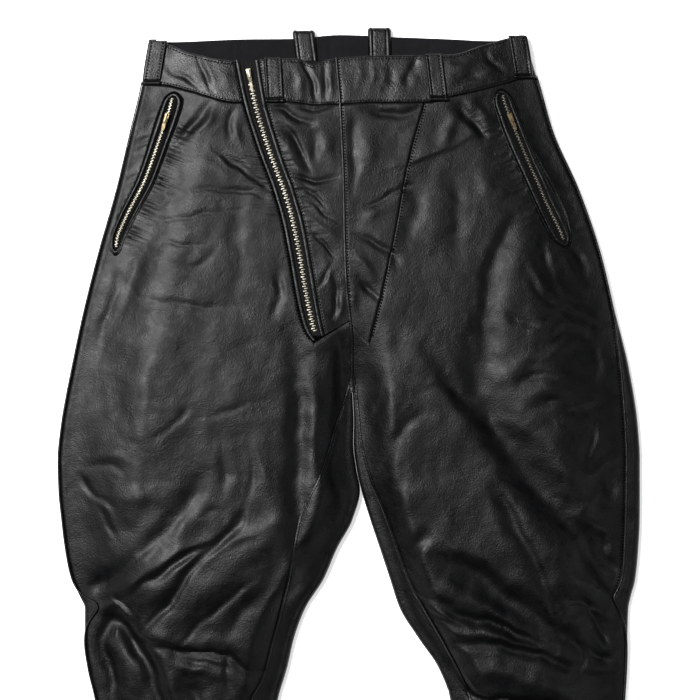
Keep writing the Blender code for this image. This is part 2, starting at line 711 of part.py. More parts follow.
def zip_strip(name, side, middle, downs, depth, collection):
    """Tape with the closed row of teeth standing on it."""
    half = ZIP_HALF_SLOT - SEAM_GAP
    teeth = TEETH_WIDTH / 2
    foot = teeth + 0.3
    steps = np.array([-half, -foot, -teeth, teeth, foot, half])
    raised = np.array([0.0, 0.0, TEETH_HEIGHT, TEETH_HEIGHT, 0.0, 0.0])
    across = middle(downs)[:, None] + steps
    rows = downs[:, None] + 0.0 * across
    outer = on_top(side, across, rows, depth - raised)
    inner = on_top(side, across, rows, depth + TAPE)
    return wall(name, outer, inner, "zip_tape", collection)


def fly_zip_pieces(collection):
    half = SEAM_GAP / 2
    teeth = FLY_LINES["teeth"]
    top = float(BAND_FRONT_LINES["top"](teeth(FLY[0][0])))
    levels = np.array([top + 1.0, 50.0, 65.0, 79.5] + list(UPPER_LEVELS[1:13]) + [FORK - 3.0], float)
    strip("fly_welt_outer", RIGHT, lambda d: FLY_LINES["outer"](d) + half,
          lambda d: teeth(d) - ZIP_HALF_SLOT, levels, FLY_WELT, "leather", collection)
    strip("fly_welt_inner", RIGHT, lambda d: teeth(d) + ZIP_HALF_SLOT,
          lambda d: FLY_LINES["inner"](d) - half, levels[:-1], FLY_WELT, "leather", collection)
    zip_strip("fly_zip", RIGHT, teeth, levels[:-1], TAPE_DEPTH, collection)


# ---------------------------------------------------------------- waistband, facing and loops

def band_front(name, side, start, end, cells, collection):
    """Piece of the front waistband between two places across, each a function of down."""
    share = np.linspace(0.0, 1.0, cells + 1)
    rows = []
    for k in range(3):
        part = k / 2
        middle = np.array([BAND_SEAM / 2])
        guess = start(middle) * (1 - share) + end(middle) * share
        for _ in range(3):
            down = band_row(BAND_FRONT_LINES, guess, part)
            guess = start(down) * (1 - share) + end(down) * share
        rows.append((guess, band_row(BAND_FRONT_LINES, guess, part)))
    across = np.stack([row[0] for row in rows])
    downs = np.stack([row[1] for row in rows])
    grids = [on_top(side, across, downs, depth) for depth in (BAND_OUT, BAND_IN)]
    return wall(name, *grids, "leather", collection)


def band_row(lines, across, part):
    """Down along a waistband, part of the way from its top edge to its seam."""
    seam = lines["seam"](across) - SEAM_GAP
    return lines["top"](across) * (1 - part) + seam * part


def band_join(side, down):
    """Side join of the waistband, under the side loop."""
    return outer_edge(side, down) - side * (radius(down) + BAND_OVERLAP)


def waistband(collection):
    half = SEAM_GAP / 2
    band_front("waistband_front_right", RIGHT, lambda d: band_join(RIGHT, d) + half,
               lambda d: FLY_LINES["outer"](d) - half, 10, collection)
    band_front("waistband_fly", RIGHT, lambda d: FLY_LINES["inner"](d) + half,
               lambda d: inner_edge(RIGHT, d), 5, collection)
    band_front("waistband_front_left", LEFT, lambda d: inner_edge(LEFT, d),
               lambda d: band_join(LEFT, d) - half, 18, collection)
    waistband_back(collection)


def waistband_back(collection):
    """Round both side folds and along the floor, with its ends under the side loops."""
    parts = np.array([0.0, 0.5, 1.0])
    grids = []
    for depth in (BAND_OUT, BAND_IN):
        sides = {}
        for side in (RIGHT, LEFT):
            middle = BAND_SEAM / 2
            edge = outer_edge(side, middle)
            downs = np.stack([np.full(8, band_row(BAND_BACK_LINES, edge, part)) for part in parts])
            fold_end = math.pi * radius(middle)
            walks = np.linspace(SEAM_GAP / 2 - BAND_OVERLAP, fold_end, 8)[None, :] + 0.0 * downs
            sides[side] = outer_walk(side, downs, walks, depth)
        share = np.linspace(0.0, 1.0, 13)[1:-1]
        start, end = sides[RIGHT][:, -1, 0] / MM, sides[LEFT][:, -1, 0] / MM
        across = start[:, None] * (1 - share) + end[:, None] * share
        downs = np.stack([band_row(BAND_BACK_LINES, across[k], part) for k, part in enumerate(parts)])
        floor = placed(across, downs, lift(downs) + depth)
        grids.append(np.concatenate([sides[RIGHT], floor, sides[LEFT][:, ::-1]], axis=1))
    return wall("waistband_back", *grids, "leather", collection)


def waist_facing(collection):
    """Black cotton inside the back waistband."""
    share = np.linspace(0.0, 1.0, 13)
    across = (FACING_ENDS[0] * (1 - share) + FACING_ENDS[1] * share)[None, :] + np.zeros((3, 1))
    top = BAND_BACK_LINES["top"](across[0]) + FACING_MARGINS[0]
    seam = BAND_BACK_LINES["seam"](across[0]) - FACING_MARGINS[1]
    downs = np.stack([top, (top + seam) / 2, seam])
    low = lift(downs) + BAND_IN + SEAM_GAP
    grids = [placed(across, downs, low + FACING), placed(across, downs, low)]
    return wall("waist_facing", *grids, "cotton", collection)


def front_loop(name, side, across_top, across_seam, half_width, collection):
    """Belt loop laid on the front waistband, a little bulged between its sewn ends."""
    share = np.linspace(0.0, 1.0, 7)[:, None]
    steps = np.linspace(-1.0, 1.0, 7)[None, :]
    middle = across_top * (1 - share) + across_seam * share
    across = middle + half_width * steps
    top = BAND_FRONT_LINES["top"](middle) - LOOP_OVER
    seam = BAND_FRONT_LINES["seam"](middle) + LOOP_UNDER
    downs = top * (1 - share) + seam * share + 0.0 * across
    clear = BAND_OUT - SEAM_GAP - LOOP_BULGE * np.sin(math.pi * share) ** 2
    walks = walk_to(side, across, downs)
    grids = [outer_walk(side, downs, walks, clear - LOOP_LEATHER), outer_walk(side, downs, walks, clear)]
    return wall(name, *grids, "leather", collection)


def back_loop(name, top_down, across_top, across_end, half_width, collection):
    """Belt loop of the back: from the floor side over the top edge and down onto the facing."""
    low = LOOP_FLOOR_CLEAR + LOOP_LEATHER / 2
    high = BAND_LIFT + BAND_IN + SEAM_GAP + FACING + SEAM_GAP + LOOP_LEATHER / 2
    turn = (high - low) / 2
    half = LOOP_LEATHER / 2
    path = [(BACK_LOOP_START, low, 0.0), (BACK_LOOP_FLAT[0], low, 0.0)]
    for k in range(7):
        angle = math.pi * k / 6
        down = top_down + turn + half - turn * math.sin(angle)
        path.append((down, low + turn - turn * math.cos(angle), angle))
    path += [(BACK_LOOP_FLAT[1], high, math.pi), (BACK_LOOP_END, high, math.pi)]
    grids = []
    for shift in (half, -half):
        rows = []
        for down, height, angle in path:
            across = across_top + (across_end - across_top) * max(down, 0.0) / BACK_LOOP_END
            row_across = across + half_width * np.linspace(-1.0, 1.0, 3)
            rows.append(placed(row_across, down - shift * math.sin(angle), height - shift * math.cos(angle)))
        grids.append(np.stack(rows))
    return wall(name, *grids, "leather", collection)


# ---------------------------------------------------------------- piping and pockets

def piping(side, collection):
    """Corded outseam, standing on the seam from the waistband to the hem."""
    levels = np.array([BAND_SEAM + 2.0] + [float(v) for v in UPPER_LEVELS[1:] + LOWER_LEVELS + CALF_LEVELS])
    steps = PIPING_WIDTH / 2 * np.array([-1.0, -PIPING_CROWN, PIPING_CROWN, 1.0])
    crown = PIPING_HEIGHT * np.array([PIPING_SIDE, 1.0, 1.0, PIPING_SIDE])
    walks = outseam_walk(side, levels)[:, None] + steps
    downs = side_down(side, levels)[:, None] + 0.0 * walks
    clear = SEAM_GAP + TUCK_CLEAR * np.exp(-((downs - TUCK_DOWN) / TUCK_SPREAD) ** 2)
    outer = outer_walk(side, downs, walks, -clear - crown)
    inner = outer_walk(side, downs, walks, -clear)
    return wall(f"piping_{SIDE_NAMES[side]}", outer, inner, "leather", collection)


def pocket(side, collection):
    """Zip pocket: a welt all round the slot, and the tape with its teeth in the slot."""
    lines = POCKET_LINES[side]
    first, last = POCKETS[side][0][0], POCKETS[side][-1][0]
    slot_start, slot_end = first + POCKET_END, last - POCKET_END
    downs = np.concatenate([[first], np.linspace(slot_start, slot_end, 10), [last]]).astype(float)
    middle, half = lines["middle"](downs)[:, None], lines["half_width"](downs)[:, None]
    slot = ZIP_HALF_SLOT + 0.0 * half
    slot[[0, -1]] = np.minimum(slot[[0, -1]], half[[0, -1]] * 0.7)
    across = middle + np.column_stack([-half, (-half - slot) / 2, -slot, slot, (half + slot) / 2, half])
    rows = downs[:, None] + 0.0 * across
    present = np.ones((len(downs) - 1, across.shape[1] - 1), bool)
    present[1:-1, 2] = False
    depths = (-POCKET_CLEAR - WELT_LEATHER, -POCKET_CLEAR)
    grids = [on_top(side, across, rows, depth) for depth in depths]
    wall(f"pocket_welt_{SIDE_NAMES[side]}", *grids, "leather", collection, present)
    inside = downs[1:-1].copy()
    inside[0] += SEAM_GAP
    inside[-1] -= SEAM_GAP
    zip_strip(f"pocket_zip_{SIDE_NAMES[side]}", side, lines["middle"], inside,
              -POCKET_CLEAR - TAPE, collection)


# ---------------------------------------------------------------- zip sliders and pull tabs

def zip_frame(side, middle, down, top_depth):
    """Frame on a zip: x across it, y up it, z square to the leather; origin on the teeth's top."""
    here = on_top(side, middle(down), down, top_depth)
    above = on_top(side, middle(down - 8.0), down - 8.0, top_depth)
    beside = on_top(side, middle(down) + 3.0, down, top_depth)
    up = Vector(above - here).normalized()
    out = Vector(beside - here).cross(up).normalized()
    across = up.cross(out).normalized()
    frame = Matrix((across, up, out)).transposed().to_4x4()
    frame.translation = Vector(here)
    return frame


def box(work, size, centre):
    scale = Matrix.Diagonal((*[s * MM for s in size], 1.0))
    place = Matrix.Translation(Vector(centre) * MM)
    bmesh.ops.create_cube(work, size=1.0, matrix=place @ scale)


def joined(name, solids, finish, collection):
    """Union of several closed bmesh solids as one object."""
    base = None
    helpers = []
    for k, work in enumerate(solids):
        mesh = bpy.data.meshes.new(f"{name}_{k}")
        work.to_mesh(mesh)
        work.free()
        piece = bpy.data.objects.new(f"{name}_{k}", mesh)
        collection.objects.link(piece)
        if base is None:
            base = piece
            continue
        helpers.append(piece)
        union = base.modifiers.new("union", "BOOLEAN")
        union.operation = "UNION"
        union.solver = "EXACT"
        union.object = piece
    evaluated = base.evaluated_get(bpy.context.evaluated_depsgraph_get())
    mesh = bpy.data.meshes.new_from_object(evaluated)
    for piece in [base] + helpers:
        bpy.data.objects.remove(piece)
    mesh.name = name
    return new_object(name, mesh, finish, collection)


def slider(name, frame, collection):
    """Slider body with two ears for the tab's barrel."""
    solids = []
    body = bmesh.new()
    box(body, (SLIDER_WIDTH, SLIDER_LENGTH, SLIDER_HEIGHT), (0.0, 0.0, SLIDER_HEIGHT / 2))
    edges = [e for e in body.edges if abs((e.verts[0].co - e.verts[1].co).normalized().z) > 0.9]
    bmesh.ops.bevel(body, geom=edges, offset=SLIDER_CORNER * MM, segments=2, affect="EDGES", profile=0.5)
    solids.append(body)
    for hand in (-1, 1):
        ear = bmesh.new()
        offset = BARREL_WIDTH / 2 + SEAM_GAP + EAR_WIDTH / 2
        box(ear, (EAR_WIDTH, EAR_LENGTH, EAR_HEIGHT + JOINED),
            (hand * offset, 0.0, SLIDER_HEIGHT + (EAR_HEIGHT - JOINED) / 2))
        solids.append(ear)
    made = joined(name, solids, "nickel", collection)
    made.matrix_world = frame
    return made


def pull_tab(name, frame, collection):
    """Tab with a round barrel between the slider's ears; its origin is on the hinge axis."""
    barrel = bmesh.new()
    bmesh.ops.create_cone(barrel, cap_ends=True, segments=PULL_SIDES, radius1=BARREL_RADIUS * MM,
                          radius2=BARREL_RADIUS * MM, depth=BARREL_WIDTH * MM,
                          matrix=Matrix.Rotation(math.pi / 2, 4, "Y"))
    neck = bmesh.new()
    reach = TAB_NECK + JOINED
    box(neck, (BARREL_WIDTH - 2 * NECK_SIDE, reach, TAB_THICKNESS * NECK_SHARE), (0.0, -reach / 2, 0.0))
    blade = bmesh.new()
    length = TAB_LENGTH - TAB_NECK
    box(blade, (TAB_WIDTH, length, TAB_THICKNESS), (0.0, -TAB_NECK - length / 2, 0.0))
    edges = [e for e in blade.edges if abs((e.verts[0].co - e.verts[1].co).normalized().z) > 0.9]
    bmesh.ops.bevel(blade, geom=edges, offset=TAB_CORNER * MM, segments=2, affect="EDGES", profile=0.5)
    made = joined(name, [barrel, neck, blade], "nickel", collection)
    axis = frame @ Matrix.Translation(Vector((0.0, 0.0, SLIDER_HEIGHT + AXIS_HEIGHT)) * MM)
    made.matrix_world = axis @ Matrix.Rotation(TAB_DROOP, 4, "X")
    return made


def zip_pulls(collection):
    """Sliders and tabs of the fly and of both pockets."""
    fly_depth = TAPE_DEPTH - TEETH_HEIGHT - SEAM_GAP
    pocket_depth = -POCKET_CLEAR - TAPE - TEETH_HEIGHT - SEAM_GAP
    places = (
        ("fly", RIGHT, FLY_LINES["teeth"], FLY_SLIDER_DOWN, fly_depth),
        ("pocket_right", RIGHT, POCKET_LINES[RIGHT]["middle"], POCKET_SLIDER_DOWN, pocket_depth),
        ("pocket_left", LEFT, POCKET_LINES[LEFT]["middle"], POCKET_SLIDER_DOWN, pocket_depth),
    )
    for name, side, middle, down, depth in places:
        frame = zip_frame(side, middle, down, depth)
        stem, _, hand = name.partition("_")
        tail = f"_{hand}" if hand else ""
        slider(f"{stem}_slider{tail}", frame, collection)
        pull_tab(f"{stem}_pull{tail}", frame, collection)


def main():
    for old in list(bpy.data.objects):
        bpy.data.objects.remove(old, do_unlink=True)
    garment = bpy.data.collections.new("leather_jodhpurs")
    bpy.context.scene.collection.children.link(garment)
    for side in (RIGHT, LEFT):
        front(side, garment)
        back_and_calf(side, garment)
        piping(side, garment)
        pocket(side, garment)
    fly_panel(garment)
    front_left_inset(garment)
    fly_zip_pieces(garment)
    waistband(garment)
    waist_facing(garment)
    for row in LOOPS:
        front_loop(*row, garment)
    for row in BACK_LOOPS:
        back_loop(*row, garment)
    zip_pulls(garment)


main()
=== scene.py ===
import json
import math

import bmesh
import bpy
import numpy as np
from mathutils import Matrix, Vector


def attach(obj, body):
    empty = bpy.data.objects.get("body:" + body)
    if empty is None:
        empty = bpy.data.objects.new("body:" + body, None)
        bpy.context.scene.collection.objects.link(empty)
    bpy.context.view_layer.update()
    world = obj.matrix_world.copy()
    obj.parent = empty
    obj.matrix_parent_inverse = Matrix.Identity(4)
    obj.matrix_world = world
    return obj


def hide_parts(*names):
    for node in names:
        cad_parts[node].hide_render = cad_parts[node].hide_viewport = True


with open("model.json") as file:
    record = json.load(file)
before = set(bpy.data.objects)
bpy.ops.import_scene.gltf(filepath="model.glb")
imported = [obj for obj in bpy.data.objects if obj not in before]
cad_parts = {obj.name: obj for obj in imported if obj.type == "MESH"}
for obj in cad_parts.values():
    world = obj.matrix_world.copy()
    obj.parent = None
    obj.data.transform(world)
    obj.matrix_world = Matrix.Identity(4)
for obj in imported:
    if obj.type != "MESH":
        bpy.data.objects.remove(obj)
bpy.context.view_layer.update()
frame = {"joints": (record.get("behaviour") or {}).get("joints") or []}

MM = 0.001
RIGHT, LEFT = SIDES = -1, 1
SIDE_NAMES = {RIGHT: "right", LEFT: "left"}
BODY = "garment"

# Driving sizes, as the solids have them.
GARMENT_LENGTH = 1016.0
LEATHER, BAND_LEATHER = 1.3, 2.2  # thickness of the body's leather and of the waistband's
BAND_RISE = 0.7             # waistband's face above the garment's outer surface
SEAM_GAP = 0.3
BAND_LIFT = 2.4             # height of the back under the waistband, above the floor
LIFT_FADE = (60.0, 125.0)   # downs between which that height goes to nothing
BAND_SEAM = 70.0            # level of the waistband's seam, from which the rows of the legs are counted
CROTCH, CROTCH_STEP = 379.0, 4.0
FORK = 332.0                # foot of the fly and of the inset
RISE, INNER_RISE = 85.0, 40.0  # how far in from the outer and the inner fold the top sheet still rises
FOLD_EDGE = 22.0            # creases fade within this distance of a fold
INSEAM_CLEAR = 0.8          # least distance of the inseam from the inner fold
ROWS_SAG = 150.0            # the rows follow the waistband's sag down to this far below its seam
MIDDLE_SPREAD = 130.0       # stretch below the fork in which the rows' cells even out
FORK_CLIMB = {RIGHT: 24.0, LEFT: 20.0}
KNEE_SEAM = {RIGHT: 712.0, LEFT: 698.0}

# The two outer edges, and the size of the fold there.
EDGE_COLUMNS = ("down", "right_edge", "left_edge", "fold_radius", "bulge")
EDGES = (
    (0, -208, 186, 5.0, 5.0),
    (30, -213.5, 192, 5.0, 6.0),
    (60, -218, 201, 5.2, 8.0),
    (108, -229.5, 215, 5.5, 11.0),
    (171, -244.5, 243, 5.8, 13.0),
    (234, -262.5, 265, 6.0, 15.0),
    (297, -278.5, 281, 6.0, 17.0),
    (360, -292.0, 296.5, 6.2, 19.0),
    (423, -303.5, 306, 6.5, 20.0),
    (455, -306.4, 307.8, 6.5, 20.0),
    (487, -305.5, 307.8, 6.5, 21.0),
    (518, -302.5, 307.6, 6.5, 22.0),
    (550, -298.5, 306, 6.5, 23.0),
    (581, -292.0, 302.9, 6.3, 23.0),
    (600, -283.5, 298, 6.0, 22.0),
    (612, -278.5, 295.6, 6.0, 21.0),
    (644, -278.5, 294.5, 6.0, 20.0),
    (675, -274.5, 293.5, 6.0, 18.0),
    (707, -267.0, 291.5, 6.0, 16.0),
    (760, -259.0, 288, 5.8, 14.0),
    (850, -253.0, 285, 5.5, 12.0),
    (1016, -251.0, 284, 5.5, 9.0),
)

# The centre front seam down to the crotch, then the inner edges of the legs.
INNER_COLUMNS = ("down", "right_inner", "left_inner", "corner_radius", "split")
INNERS = (
    (30, -12.3, -12.3, 2.2, 0.0),
    (80, -8.2, -8.2, 2.2, 0.0),
    (153, -4.7, -4.7, 2.2, 0.0),
    (245, -2.6, -2.6, 2.2, 0.0),
    (286, -0.2, -0.2, 2.2, 0.12),
    (318, 3.6, 3.6, 2.2, 0.3),
    (350, 4.4, 4.4, 2.2, 0.7),
    (379, 4.2, 4.2, 2.2, 1.0),
    (415, 5.6, 5.6, 4.0, 1.0),
    (437, 5.2, 5.2, 5.0, 1.0),
    (466, 8.6, 8.6, 5.6, 1.0),
    (487, 12.4, 13.4, 6.0, 1.0),
    (518, 4.5, 22.6, 6.0, 1.0),
    (549, -12.0, 33.0, 6.0, 1.0),
    (581, -26.0, 43.6, 6.0, 1.0),
    (612, -45.5, 54.0, 6.0, 1.0),
    (644, -57.5, 74.0, 6.0, 1.0),
    (675, -64.6, 95.0, 6.0, 1.0),
    (707, -74.0, 107.0, 6.0, 1.0),
    (760, -82.0, 114.0, 5.8, 1.0),
    (850, -86.0, 117.0, 5.5, 1.0),
    (1016, -85.0, 118.0, 5.5, 1.0),
)

# The inseams, where they lie on the top sheet.
INSEAM_COLUMNS = ("down", "right_inseam", "left_inseam")
INSEAMS = (
    (379, 1.0, 7.0),
    (422, -13.0, 11.0),
    (441, -18.5, 13.5),
    (474, -30.0, 22.6),
    (509, -48.0, 37.3),
    (554, -57.0, 53.0),
    (591, -64.6, 68.0),
    (646, -78.5, 98.2),
    (686, -90.0, 119.0),
    (706, -100.8, 127.6),
    (760, -112.0, 138.0),
    (850, -116.0, 142.0),
    (1016, -115.0, 142.0),
)

# The outseams, as a walk round the outer fold: 0 where the top sheet ends, negative on it. Where the
# flare tucks in above the knee, the front draws back and shows the back panel.
OUTSEAM_COLUMNS = ("down", "right_walk", "left_walk")
OUTSEAMS = (
    (50, 7.5, 7.0),
    (200, 7.5, 6.0),
    (287, 7.0, 4.4),
    (361, 7.0, -3.4),
    (426, 6.5, -8.0),
    (475, 6.5, -8.7),
    (528, 6.5, -9.3),
    (573, 6.5, -8.6),
    (590, 4.5, -10.5),
    (598, 0.0, -12.5),
    (605, -9.0, -9.5),
    (612, -8.0, -5.0),
    (624, 0.0, 0.0),
    (640, 5.5, 4.0),
    (665, 7.0, 6.0),
    (1016, 7.0, 6.0),
)

# The slanting front zip, and the inset's slanting seam.
FLY_COLUMNS = ("down", "outer", "teeth", "inner")
FLY = (
    (30, -120.0, -108.0, -95.0),
    (80, -109.7, -98.0, -86.5),
    (130, -94.0, -83.0, -72.0),
    (175, -77.5, -66.5, -56.0),
    (203, -69.5, -58.5, -47.8),
    (240, -62.0, -51.0, -40.5),
    (280, -55.0, -44.2, -33.5),
    (312, -47.6, -37.4, -27.6),
    (322, -43.4, -34.6, -25.0),
    (332, -35.5, -31.0, -22.0),
)
INSET_COLUMNS = ("down", "inset_seam")
INSET = (
    (78, 80.0),
    (144, 62.0),
    (217, 48.5),
    (277, 35.0),
    (332, 21.0),
)

# Waistband edges, as lines across the garment.
BAND_FRONT_COLUMNS = ("across", "top", "seam")
BAND_FRONT = (
    (-216, 12.0, 58.0),
    (-195, 15.5, 60.0),
    (-165, 27.0, 67.5),
    (-118, 35.2, 79.5),
    (-68, 32.8, 78.6),
    (-53, 33.0, 80.0),
    (-37, 39.0, 81.8),
    (-24, 34.2, 82.0),
    (-8, 32.0, 81.4),
    (24, 29.8, 79.6),
    (80, 29.2, 79.5),
    (108, 28.5, 73.0),
    (141, 18.5, 65.0),
    (177, 9.0, 54.5),
    (196, 7.4, 49.0),
)
BAND_BACK_COLUMNS = ("across", "top", "seam")
BAND_BACK = (
    (-214, 12.0, 58.0),
    (-190, 13.5, 57.5),
    (-110, 10.6, 56.0),
    (-60, 10.1, 55.0),
    (-9, 6.0, 54.0),
    (47, 8.2, 53.0),
    (108, 10.6, 51.5),
    (151, 12.5, 50.0),
    (196, 7.4, 49.0),
)

# Pocket openings: the welts' two stitched edges and the teeth between them.
POCKET_COLUMNS = ("down", "low_side", "teeth", "high_side")
POCKETS = {
    RIGHT: (
        (67, -191.0, -184.0, -176.0),
        (77, -196.0, -186.0, -173.5),
        (96, -203.5, -191.5, -178.5),
        (122, -211.5, -200.5, -188.5),
        (145, -218.5, -208.5, -197.0),
        (164, -226.0, -216.0, -204.5),
        (183, -235.5, -226.0, -215.0),
        (203, -245.0, -236.0, -226.5),
        (222, -250.0, -243.5, -236.5),
        (240, -250.0, -246.0, -242.0),
    ),
    LEFT: (
        (64, 154.0, 160.5, 167.0),
        (77, 151.5, 163.5, 175.0),
        (96, 156.5, 170.5, 182.0),
        (120, 165.0, 180.0, 191.5),
        (143, 175.0, 189.5, 203.0),
        (164, 184.5, 199.0, 214.5),
        (182, 193.0, 206.5, 224.5),
        (201, 202.0, 216.0, 232.0),
        (218, 211.0, 224.0, 234.0),
        (232, 222.0, 228.5, 233.0),
    ),
}
FLY_SLIDER_DOWN = 50.0

# Belt loops: name, side, across at the top, across at the seam, half width.
LOOPS = (
    ("loop_side_right", RIGHT, -200.0, -207.5, 9.4),
    ("loop_fly", RIGHT, -79.6, -76.8, 9.4),
    ("loop_front_left", LEFT, 89.0, 95.0, 9.2),
    ("loop_side_left", LEFT, 177.5, 185.0, 9.6),
)
# Back belt loops: name, down at the top, across there and at the inner end, half width.
BACK_LOOPS = (
    ("loop_back_right", 3.0, -48.0, -43.5, 10.6),
    ("loop_back_left", 0.0, 32.5, 33.5, 11.0),
)
BACK_LOOP_START, BACK_LOOP_END = 56.0, 34.0
LOOP_LEATHER, LOOP_BULGE = 1.5, 1.2
FACING = 1.0

